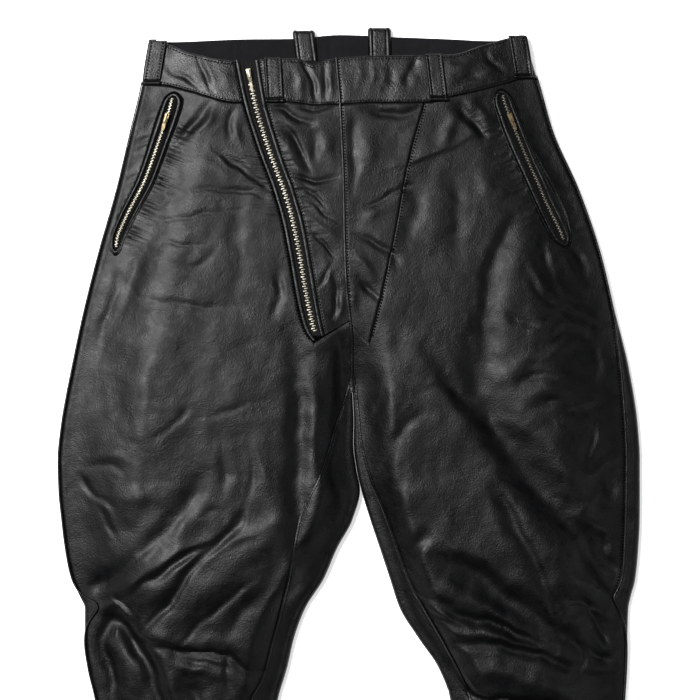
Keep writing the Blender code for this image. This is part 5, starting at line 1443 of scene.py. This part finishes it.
def piping(side):
    """Corded outseam, standing on the seam from the waistband to the hem."""
    levels = sewn_levels(BAND_SEAM + 1.0, GARMENT_LENGTH)
    downs = side_down(side, levels)[:, None]
    angles = np.linspace(-1.5, 1.5, 11)[None, :]
    walks = outseam_walk(side, levels)[:, None] + PIPING_CORD * np.sin(angles)
    rise = 0.2 + 1.3 * np.cos(angles) + 0.0 * walks
    grid = raised(side, downs + 0.0 * walks, walks, rise)
    return leather_shell(f"piping_{SIDE_NAMES[side]}", grid, 0.6, LEATHER_TRIM)


FLY_TOP = float(BAND_FRONT_LINES["top"](-107.0))
WELT_WIDTH = 4.4
WELT_LEATHER = 0.7
TAPE_THICK = 0.7
TAPE_CORD, TAPE_CORD_PLACE = 1.0, 4.6  # height of the tape's cords, and how far they lie from the teeth


def zip_tape(node_name, side, low, middle, high, downs, depth, finish):
    """Recessed tape between two lines, ribbed by its weave and raised beside the teeth."""
    across = between(low(downs), high(downs), np.linspace(0.0, 1.0, 43))
    from_teeth = np.abs(across - middle(downs)[:, None])
    cords = TAPE_CORD * peak(from_teeth - TAPE_CORD_PLACE, 0.6)
    grid = on_top(side, across, downs[:, None] + 0.0 * across, cords - depth)
    return shell(f"{node_name}_tape", node_name, grid, TAPE_THICK, finish)


# Zip teeth: length, how far the rows lap, pitch of one row, width.
FLY_TEETH = (3.7, 2.2, 5.0, 1.05)
POCKET_TEETH = (2.3, 1.3, 3.4, 0.8)
TOOTH_HEIGHT = 1.1


def bevelled_box(size, bevel, segments, narrow=1.0):
    """Points and triangles of a box; narrow is its width at its lower end as a share of the upper one."""
    work = bmesh.new()
    bmesh.ops.create_cube(work, size=1.0)
    for vertex in work.verts:
        share = narrow if vertex.co.y < 0 else 1.0
        vertex.co = Vector((vertex.co.x * size[0] * share, vertex.co.y * size[1], vertex.co.z * size[2]))
    bmesh.ops.bevel(work, geom=list(work.edges), offset=bevel, segments=segments, affect="EDGES", profile=0.6)
    bmesh.ops.triangulate(work, faces=list(work.faces))
    work.verts.ensure_lookup_table()
    points = np.array([v.co[:] for v in work.verts])
    faces = np.array([[v.index for v in f.verts] for f in work.faces])
    work.free()
    return points, faces


def tooth_template(length, width):
    """One tooth: a rounded bar across the tape, cupped at its head."""
    points, faces = bevelled_box((length, width, TOOTH_HEIGHT), 0.16, 2)
    head = np.clip(points[:, 0] / (length / 2), 0.0, 1.0)
    points[:, 1] *= 1.0 + 0.15 * head
    points[:, 2] += 0.18 * head
    return points, faces


def scattered(name, template, frames, finish):
    """Copies of a template of points in millimetres, one for each frame (origin, three axes)."""
    points, faces = template
    origins = np.array([f[0] for f in frames])
    axes = np.array([f[1:] for f in frames])
    copies = origins[:, None, :] + np.einsum("pk,fkc->fpc", points * MM, axes)
    firsts = np.arange(len(frames)) * len(points)
    all_faces = (faces[None] + firsts[:, None, None]).reshape(-1, faces.shape[1])
    return mesh_object(name, copies.reshape(-1, 3), all_faces, finish, 40.0)


def unit(vectors):
    return vectors / np.linalg.norm(vectors, axis=-1, keepdims=True)


def frames_along(side, line, downs, depth):
    """Frames on the top sheet along a line: origin, across the line, along it, and out."""
    def at(shift, step=0.0):
        return on_top(side, line(downs + step) + shift, downs + step, -depth)

    along = unit(at(0.0, -1.5) - at(0.0, 1.5))
    out = unit(np.cross(at(3.0) - at(-3.0), along))
    return at(0.0), np.cross(along, out), along, out


def walked(line, start, end, pitch):
    """Downs at even steps along a line of the sheet."""
    fine = np.linspace(start, end, 2000)
    run = np.hypot(np.diff(line(fine)), np.diff(fine))
    length = np.concatenate([[0.0], np.cumsum(run)])
    count = int(length[-1] / pitch)
    return np.interp(np.arange(count) * pitch, length, fine)


def teeth(name, side, line, start, end, depth, sizes):
    """Both rows of teeth, meshed."""
    length, lap, pitch, width = sizes
    downs = walked(line, start, end, pitch / 2)
    here, right, along, out = frames_along(side, line, downs, depth - TOOTH_HEIGHT * 0.35)
    hands = np.where(np.arange(len(downs)) % 2, 1.0, -1.0)[:, None]
    origins = here - right * hands * (length - lap) / 2 * MM
    frames = list(zip(origins, right * hands, along * hands, out))
    return scattered(name, tooth_template(length, width), frames, TEETH_METAL)


# Hinge, slider, pull tab, the tab's length as a share of the fly's, its width in millimetres, and the metal.
PULLS = (
    ("fly_pull_hinge", "fly_slider", "fly_pull", 1.0, 3.1, FLY_PULL_METAL),
    ("pocket_pull_right_hinge", "pocket_slider_right", "pocket_pull_right", 0.68, 3.6, PULL_METAL),
    ("pocket_pull_left_hinge", "pocket_slider_left", "pocket_pull_left", 0.68, 3.6, PULL_METAL),
)


PLATE_POINTS = 40


def rounded_plate(outer, inner, centre, hole, thickness, bevel):
    """Bevelled plate with a hole, each with its centre; both outlines are rounded rectangles."""
    angles = 2 * math.pi * np.arange(PLATE_POINTS) / PLATE_POINTS

    def outline(size, middle, inset, z):
        c, s = np.cos(angles), np.sin(angles)
        x = middle[0] + (size[0] / 2 - inset) * np.sign(c) * np.abs(c) ** 0.5
        y = middle[1] + (size[1] / 2 - inset) * np.sign(s) * np.abs(s) ** 0.5
        return np.stack([x, y, np.full(PLATE_POINTS, middle[2] + z)], axis=-1)

    half = thickness / 2
    edge = ((bevel, half), (0.0, half - bevel), (0.0, bevel - half), (bevel, -half))
    loops = [outline(outer, centre, inset, z) for inset, z in edge]
    loops += [outline(inner, hole, -inset, z) for inset, z in reversed(edge)]
    points = np.stack(loops, axis=1)
    index = np.arange(PLATE_POINTS * len(loops)).reshape(PLATE_POINTS, -1)
    after, beside = np.roll(index, -1, axis=0), np.roll(index, -1, axis=1)
    both = np.roll(after, -1, axis=1)
    return points.reshape(-1, 3), np.stack([index, beside, both, after], axis=-1).reshape(-1, 4)


def bar(size, centre, bevel=0.3, narrow=1.0):
    """Bevelled bar round a centre of its own."""
    points, faces = bevelled_box(size, bevel, 3, narrow)
    return points + np.array(centre), faces


def metal_piece(name, parts, place, finish):
    """One object from several closed parts in millimetres, placed by a 4 by 4 matrix."""
    points, faces, base = [], [], 0
    for part_points, part_faces in parts:
        if part_faces.shape[1] == 4:
            part_faces = np.concatenate([part_faces[:, [0, 1, 2]], part_faces[:, [0, 2, 3]]])
        points.append(part_points)
        faces.append(part_faces + base)
        base += len(part_points)
    turned = np.concatenate(points) * MM @ place[:3, :3].T + place[:3, 3]
    return mesh_object(name, turned, np.concatenate(faces), finish, 35.0)


# A slider's parts in millimetres: size, centre, bevel, and how far it narrows.
SLIDER_PARTS = (
    ((5.4, 11.0, 0.8), (0.0, 0.0, -3.1), 0.35, 0.72),
    ((4.8, 10.4, 0.9), (0.0, 0.2, -1.9), 0.4, 0.74),
    ((1.3, 4.0, 1.2), (0.0, 0.0, -2.5), 0.3, 1.0),
    ((1.8, 9.0, 0.8), (0.0, 0.4, 1.1), 0.35, 0.8),
    ((1.6, 1.1, 3.0), (0.0, 4.3, -0.3), 0.3, 1.0),
    ((1.4, 1.1, 3.0), (0.0, -3.5, -0.3), 0.3, 1.0),
)
TAB_DROOP = math.radians(8.0)


def metal(node_name, body, parts, place, finish):
    """Metal piece that rides on a body and stands for a solid."""
    made = metal_piece(f"{node_name}_metal", parts, place, finish)
    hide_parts(node_name)
    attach(made, body)


def hinge_place(joint):
    """Matrix of a pull's hinge: x across the zip, y up along it and z out of it."""
    across = unit(-np.array(joint["axis"], float))
    up = unit(np.cross((0.0, 0.0, 1.0), across))
    place = np.eye(4)
    place[:3, :3] = np.stack([across, up, np.cross(across, up)], axis=1)
    place[:3, 3] = joint["pos_m"]
    return place


def zip_pulls():
    """Sliders with their bridges on the garment, and the pull tabs on their own bodies."""
    hinges = {joint["name"]: joint for joint in frame["joints"]}
    droop = np.eye(4)
    c, s = math.cos(TAB_DROOP), math.sin(TAB_DROOP)
    droop[1:3, 1:3] = ((c, -s), (s, c))
    for hinge, slider_name, pull_name, share, width, finish in PULLS:
        place = hinge_place(hinges[hinge])
        metal(slider_name, BODY, [bar(*part) for part in SLIDER_PARTS], place, finish)
        eye, hole = (0.0, -3.2 * share, 0.0), (0.0, -8.3 * share, -0.1)
        metal(pull_name, pull_name, (
            rounded_plate((3.6, 8.6 * share), (2.2, 6.4 * share), eye, eye, 0.8, 0.22),
            rounded_plate((width, 13.0 * share), (1.3, 1.3), (0.0, -13.2 * share, -0.1), hole, 0.9, 0.25),
        ), place @ droop, finish)


# ---------------------------------------------------------------- sewing

STITCH_PITCH = 3.2


STITCH_LENGTH, STITCH_THICK = 2.0, 0.78
STITCH_RINGS, STITCH_SIDES = 6, 6


def stitch_template():
    """Points and faces of one stitch: a short thread that dives in at both ends."""
    points, faces = [], []
    for t in np.linspace(-1.0, 1.0, STITCH_RINGS):
        rise = STITCH_THICK * (0.45 - 1.5 * abs(t) ** 3)
        wide = STITCH_THICK * (1.0 - 0.45 * t * t)
        for angle in 2 * math.pi * np.arange(STITCH_SIDES) / STITCH_SIDES:
            points.append((wide * math.cos(angle), t * STITCH_LENGTH / 2, rise + wide * math.sin(angle)))
    for first in range(0, (STITCH_RINGS - 1) * STITCH_SIDES, STITCH_SIDES):
        for k in range(STITCH_SIDES):
            a, b = first + k, first + (k + 1) % STITCH_SIDES
            faces.append((a, b, b + STITCH_SIDES, a + STITCH_SIDES))
    return np.array(points), np.array(faces)


class Sewing:
    """Collects stitches of one stretch of the garment into a single mesh."""

    def __init__(self):
        self.frames = []

    def along(self, side, line, start, end, rise=0.0):
        """Stitches down a line of the top sheet."""
        self.frames += zip(*frames_along(side, line, walked(line, start, end, STITCH_PITCH), -rise))

    def through(self, points, pitch=STITCH_PITCH):
        """Stitches along a line of points in space."""
        run = np.linalg.norm(np.diff(points, axis=0), axis=1)
        length = np.concatenate([[0.0], np.cumsum(run)])
        places = np.arange(pitch * MM / 2, length[-1], pitch * MM)

        def at(shift):
            return np.stack([np.interp(places + shift, length, points[:, k]) for k in range(3)], axis=1)

        along = unit(at(1.0 * MM) - at(-1.0 * MM))
        right = unit(np.cross(along, (0.0, 0.0, 1.0)))
        self.frames += zip(at(0.0), right, along, np.cross(right, along))

    def made(self, name):
        return scattered(name, stitch_template(), self.frames, THREAD)


def across_line(side, line_down, start, end, rise):
    """Points of the top sheet along a line across it."""
    across = np.linspace(start, end, 120)
    return on_top(side, across, line_down(across), rise)


# ---------------------------------------------------------------- build

def ride_all(pieces):
    for piece in pieces:
        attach(piece, BODY)


def main():
    fronts = [front(side) for side in SIDES]
    backs = [back_and_calf(side) for side in SIDES]
    fly = fly_panel()
    inset = inset_panel()
    bands = waistband()
    facing = waist_facing()
    loops = [front_loop(*row) for row in LOOPS] + [back_loop(*row) for row in BACK_LOOPS]
    pipings = [piping(side) for side in SIDES]
    trim = loops + pipings + fly_zip() + pocket(RIGHT) + pocket(LEFT) + laps()
    ride_all([*fronts, *backs[0], *backs[1], fly, inset, *bands])
    ride_all([facing])
    slots = {LEATHER_TRIM: "leather", TAPE: "zip_tape", POCKET_TAPE_PAINTED_SHADE: "zip_tape", TEETH_METAL: "zip_metal"}
    for slot in ("leather", "zip_tape", "zip_metal"):
        ride_all([piece for piece in trim if slots[piece.data.materials[0]] == slot])
    ride_all(sewing())
    zip_pulls()


def fly_zip():
    """The slanting front zip: turned and stitched edges, recessed tape and teeth."""
    outer, line, inner = (FLY_LINES[name] for name in ("outer", "teeth", "inner"))
    outer_downs = sewn_levels(FLY_TOP, FORK - 3.0, FLY_STEP)
    inner_downs = sewn_levels(FLY_TOP, FORK - 8.0, FLY_STEP)
    tape_downs = sewn_levels(FLY_TOP + 1.5, FORK - 8.0, FLY_STEP)
    return [
        strip("fly_welt_outer_leather", "fly_welt_outer", RIGHT, outer, lambda d: outer(d) + WELT_WIDTH,
              outer_downs, 1.0, WELT_LEATHER, -0.5),
        strip("fly_welt_inner_leather", "fly_welt_inner", RIGHT, lambda d: inner(d) - WELT_WIDTH, inner,
              inner_downs, 1.0, WELT_LEATHER, -0.5),
        zip_tape("fly_zip", RIGHT, lambda d: outer(d) + 2.0, line, lambda d: inner(d) - 2.0, tape_downs,
                 1.6, TAPE),
        teeth("fly_zip_teeth", RIGHT, line, FLY_SLIDER_DOWN + 8.0, FORK - 9.0, 1.2, FLY_TEETH),
    ]


def rounded_sides(low, high, downs):
    """The two sides of a slot as points, drawn together at its head and foot."""
    middle, half = (low + high) / 2, (high - low) / 2 * arch(downs, downs[0], downs[-1])
    return np.column_stack([middle - half, downs]), np.column_stack([middle + half, downs])


POCKET_ROWS = 110
SLOT_INSET = 6.0            # how far the slot lies in from the welt's head and foot
# How far the welt's slot reaches from the teeth, on the side towards the outseam and on the other.
SLOT_OUTER, SLOT_INNER = 4.6, 6.4
WELT_STEPS = np.concatenate([np.linspace(0.0, 0.4, 11), np.linspace(0.47, 1.0, 9)])


def welt_profile(steps):
    """Rise of a pocket's welt from its outer rim to the slot: stitched rim, groove and corded lip."""
    rim = peak(steps - 0.11, 0.09) - 0.7 * peak(steps - 0.30, 0.07)
    return 0.1 + rim + 1.7 * round_top((steps - 0.66) / 0.35) - 0.5 * smooth((steps - 0.9) / 0.1)


def ring_of(low, high, downs):
    """Closed ring of points: down the low side of a slot, round its foot and up the high side."""
    low, high = rounded_sides(low, high, downs)
    return np.concatenate([low, high[::-1], low[:1]])


def pocket(side):
    """Zip pocket: a welt all round the slot, the recessed tape and the teeth."""
    hand = SIDE_NAMES[side]
    low, line, high = (POCKET_LINES[side][name] for name in ("low_side", "teeth", "high_side"))
    first, last = pocket_ends(side)
    downs = first + (last - first) * (0.5 - 0.5 * np.cos(np.linspace(0.0, math.pi, POCKET_ROWS)))
    slot_downs = first + SLOT_INSET + (downs - first) * (last - first - 2 * SLOT_INSET) / (last - first)
    reach_low, reach_high = (SLOT_OUTER, SLOT_INNER)[::-side]
    slot_low = np.maximum(line(slot_downs) - reach_low, low(slot_downs) + 2.0)
    slot_high = np.minimum(line(slot_downs) + reach_high, high(slot_downs) - 2.0)
    outer = ring_of(low(downs), high(downs), downs)[:, None]
    inner = ring_of(slot_low, slot_high, slot_downs)[:, None]
    steps = WELT_STEPS[None, :, None]
    ring = outer * (1 - steps) + inner * steps
    rise = welt_profile(WELT_STEPS) + 0.0 * ring[..., 0]
    grid = on_top(side, ring[..., 0], ring[..., 1], rise)
    tape_downs = sewn_levels(first + 5.0, last - 5.0, 2.5)
    return [
        leather_shell(f"pocket_welt_{hand}", grid, 0.8, LEATHER_TRIM),
        # this tape's finish is painted darker than the fly's, as painted shade in the slot
        zip_tape(f"pocket_zip_{hand}", side, lambda d: np.maximum(line(d) - 6.0, low(d) + 1.5), line,
                 lambda d: np.minimum(line(d) + 6.0, high(d) - 1.5), tape_downs, 0.9, POCKET_TAPE_PAINTED_SHADE),
        teeth(f"pocket_zip_{hand}_teeth", side, line, first + 8.0, last - 7.0, 0.5, POCKET_TEETH),
    ]


def laps():
    """Laps of the centre seam, wider at the crotch, of its stretch on the waistband and of the inseams."""
    def centre(downs):
        return inner_edge(RIGHT, downs) - 0.6 + 0.9 * smooth((downs - 360.0) / 18.0)

    def centre_width(downs):
        return LAP_WIDTH + (LAP_FOOT - LAP_WIDTH) * smooth((downs - 362.0) / 12.0)

    made = [
        lap("centre_lap_leather", RIGHT, centre, sewn_levels(80.0, CROTCH + 5.0, 2.0), centre_width, 1.0),
        lap("band_lap_leather", RIGHT, centre, sewn_levels(32.0, 81.0, 2.0), centre_width, 1.2, 0.5),
    ]
    downs = sewn_levels(CROTCH - 3.0, 1010.0)
    for side in SIDES:
        name = f"inseam_lap_{SIDE_NAMES[side]}_leather"
        made.append(lap(name, side, lambda d: inseam(side, d) + side * 0.6, downs, lambda d: INSEAM_LAP,
                        0.3, 0.0, 0.9))
    return made


# Rows of stitches along the waistband: line, how far from it, the outer ends, the downs at which the fly and
# the centre seam part the row, and the pitch.
WAIST_ROWS = (
    ("top", 3.4, -196.0, 170.0, 40.0, 35.0, 3.6),
    ("seam", -2.2, -198.0, 176.0, 78.0, 80.0, 3.2),
)


def waist_stitches():
    """The waistband's two edges and the belt loops."""
    waist = Sewing()
    for name, shift, first, last, fly_down, centre_down, pitch in WAIST_ROWS:
        centre = inner_edge(RIGHT, centre_down)
        stretches = ((RIGHT, first, FLY_LINES["outer"](fly_down) - 3.0),
                     (RIGHT, FLY_LINES["inner"](fly_down) + 3.0, centre - 3.0), (LEFT, centre + 3.0, last))
        for side, start, end in stretches:
            row = across_line(side, lambda a: BAND_FRONT_LINES[name](a) + shift, start, end, BAND_RISE - 0.3)
            waist.through(row, pitch)
    share = np.linspace(0.03, 0.89, 40)
    for name, side, across_top, across_seam, half_width in LOOPS:
        middle, downs = loop_run(share, across_top, across_seam)
        for hand in SIDES:
            walks = walk_to(side, middle + hand * half_width * LOOP_STITCH, downs)
            waist.through(raised(side, downs, walks, loop_bow(share) - 0.35))
    for name, *sizes in BACK_LOOPS:
        for row in back_loop_rows(*sizes):
            waist.through(row)
    return waist.made("stitching_waist")


def zip_stitches():
    """Beside the fly's and the pockets' openings."""
    zips = Sewing()
    for name, shift, foot in (("outer", -2.1, FORK - 2.0), ("inner", 1.9, FORK - 9.0)):
        for start, end, rise in ((82.0, foot, -0.3), (FLY_TOP + 2.0, 79.0, BAND_RISE - 0.3)):
            zips.along(RIGHT, lambda d: FLY_LINES[name](d) + shift, start, end, rise)
    for side in SIDES:
        first, last = pocket_ends(side)
        for name, shift in (("low_side", 2.6), ("high_side", -2.4)):
            zips.along(side, lambda d: POCKET_LINES[side][name](d) + shift, first + 7.0, last - 7.0, -0.2)
    return zips.made("stitching_zips")


def seam_stitches():
    """Beside the centre seam, the inset's seam and the wearer's left outseam."""
    seams = Sewing()
    seams.along(RIGHT, centre_line(LEFT, 1.6), 34.0, 79.0, BAND_RISE)
    seams.along(LEFT, centre_line(LEFT, 1.8), 83.0, 300.0)
    seams.along(LEFT, lambda d: INSET_LINES["inset_seam"](d) + 2.2, 84.0, FORK - 2.0)
    seams.along(LEFT, lambda d: outer_edge(LEFT, d) - radius(d) + outseam_walk(LEFT, d) - 3.4, 76.0, 592.0)
    return seams.made("stitching_seams")


def sewing():
    """All the visible stitching, in a few joined meshes."""
    return [waist_stitches(), zip_stitches(), seam_stitches()]


main()


# ---------------------------------------------------------------- floor, light and camera

def floor():
    bpy.ops.mesh.primitive_plane_add(size=60.0, location=(0.0, 0.0, -0.0005))
    made = bpy.context.object
    made.name = "floor"
    made.data.materials.append(floor_material())


def area_light(name, place, target, size, power, colour=(1.0, 1.0, 1.0)):
    data = bpy.data.lights.new(name, "AREA")
    data.shape = "RECTANGLE"
    data.size, data.size_y = size
    data.energy = power
    data.color = colour
    made = bpy.data.objects.new(name, data)
    made.location = place
    made.rotation_euler = (Vector(target) - Vector(place)).to_track_quat("-Z", "Y").to_euler()
    bpy.context.scene.collection.objects.link(made)


def studio():
    scene = bpy.context.scene
    scene.view_settings.view_transform = "Standard"
    scene.view_settings.look = "None"
    world = bpy.data.worlds.new("studio")
    world.use_nodes = True
    world.node_tree.nodes["Background"].inputs["Color"].default_value = (0.93, 0.97, 1.0, 1.0)
    world.node_tree.nodes["Background"].inputs["Strength"].default_value = 0.035
    scene.world = world
    area_light("key", (-1.62, 1.10, 3.40), (0.0, 0.15, 0.0), (1.35, 1.05), 272.0)
    area_light("fill", (2.1, -0.6, 1.5), (0.0, 0.1, 0.0), (1.2, 1.2), 9.0, (0.95, 0.98, 1.0))


CAMERA_PLACE = (0.0016, 0.16885, 2.018)
CAMERA_LENS = 97.96


def camera():
    data = bpy.data.cameras.new("camera")
    data.sensor_width = 36.0
    data.lens = CAMERA_LENS
    made = bpy.data.objects.new("camera", data)
    made.location = CAMERA_PLACE
    bpy.context.scene.collection.objects.link(made)
    bpy.context.scene.camera = made


floor()
studio()
camera()
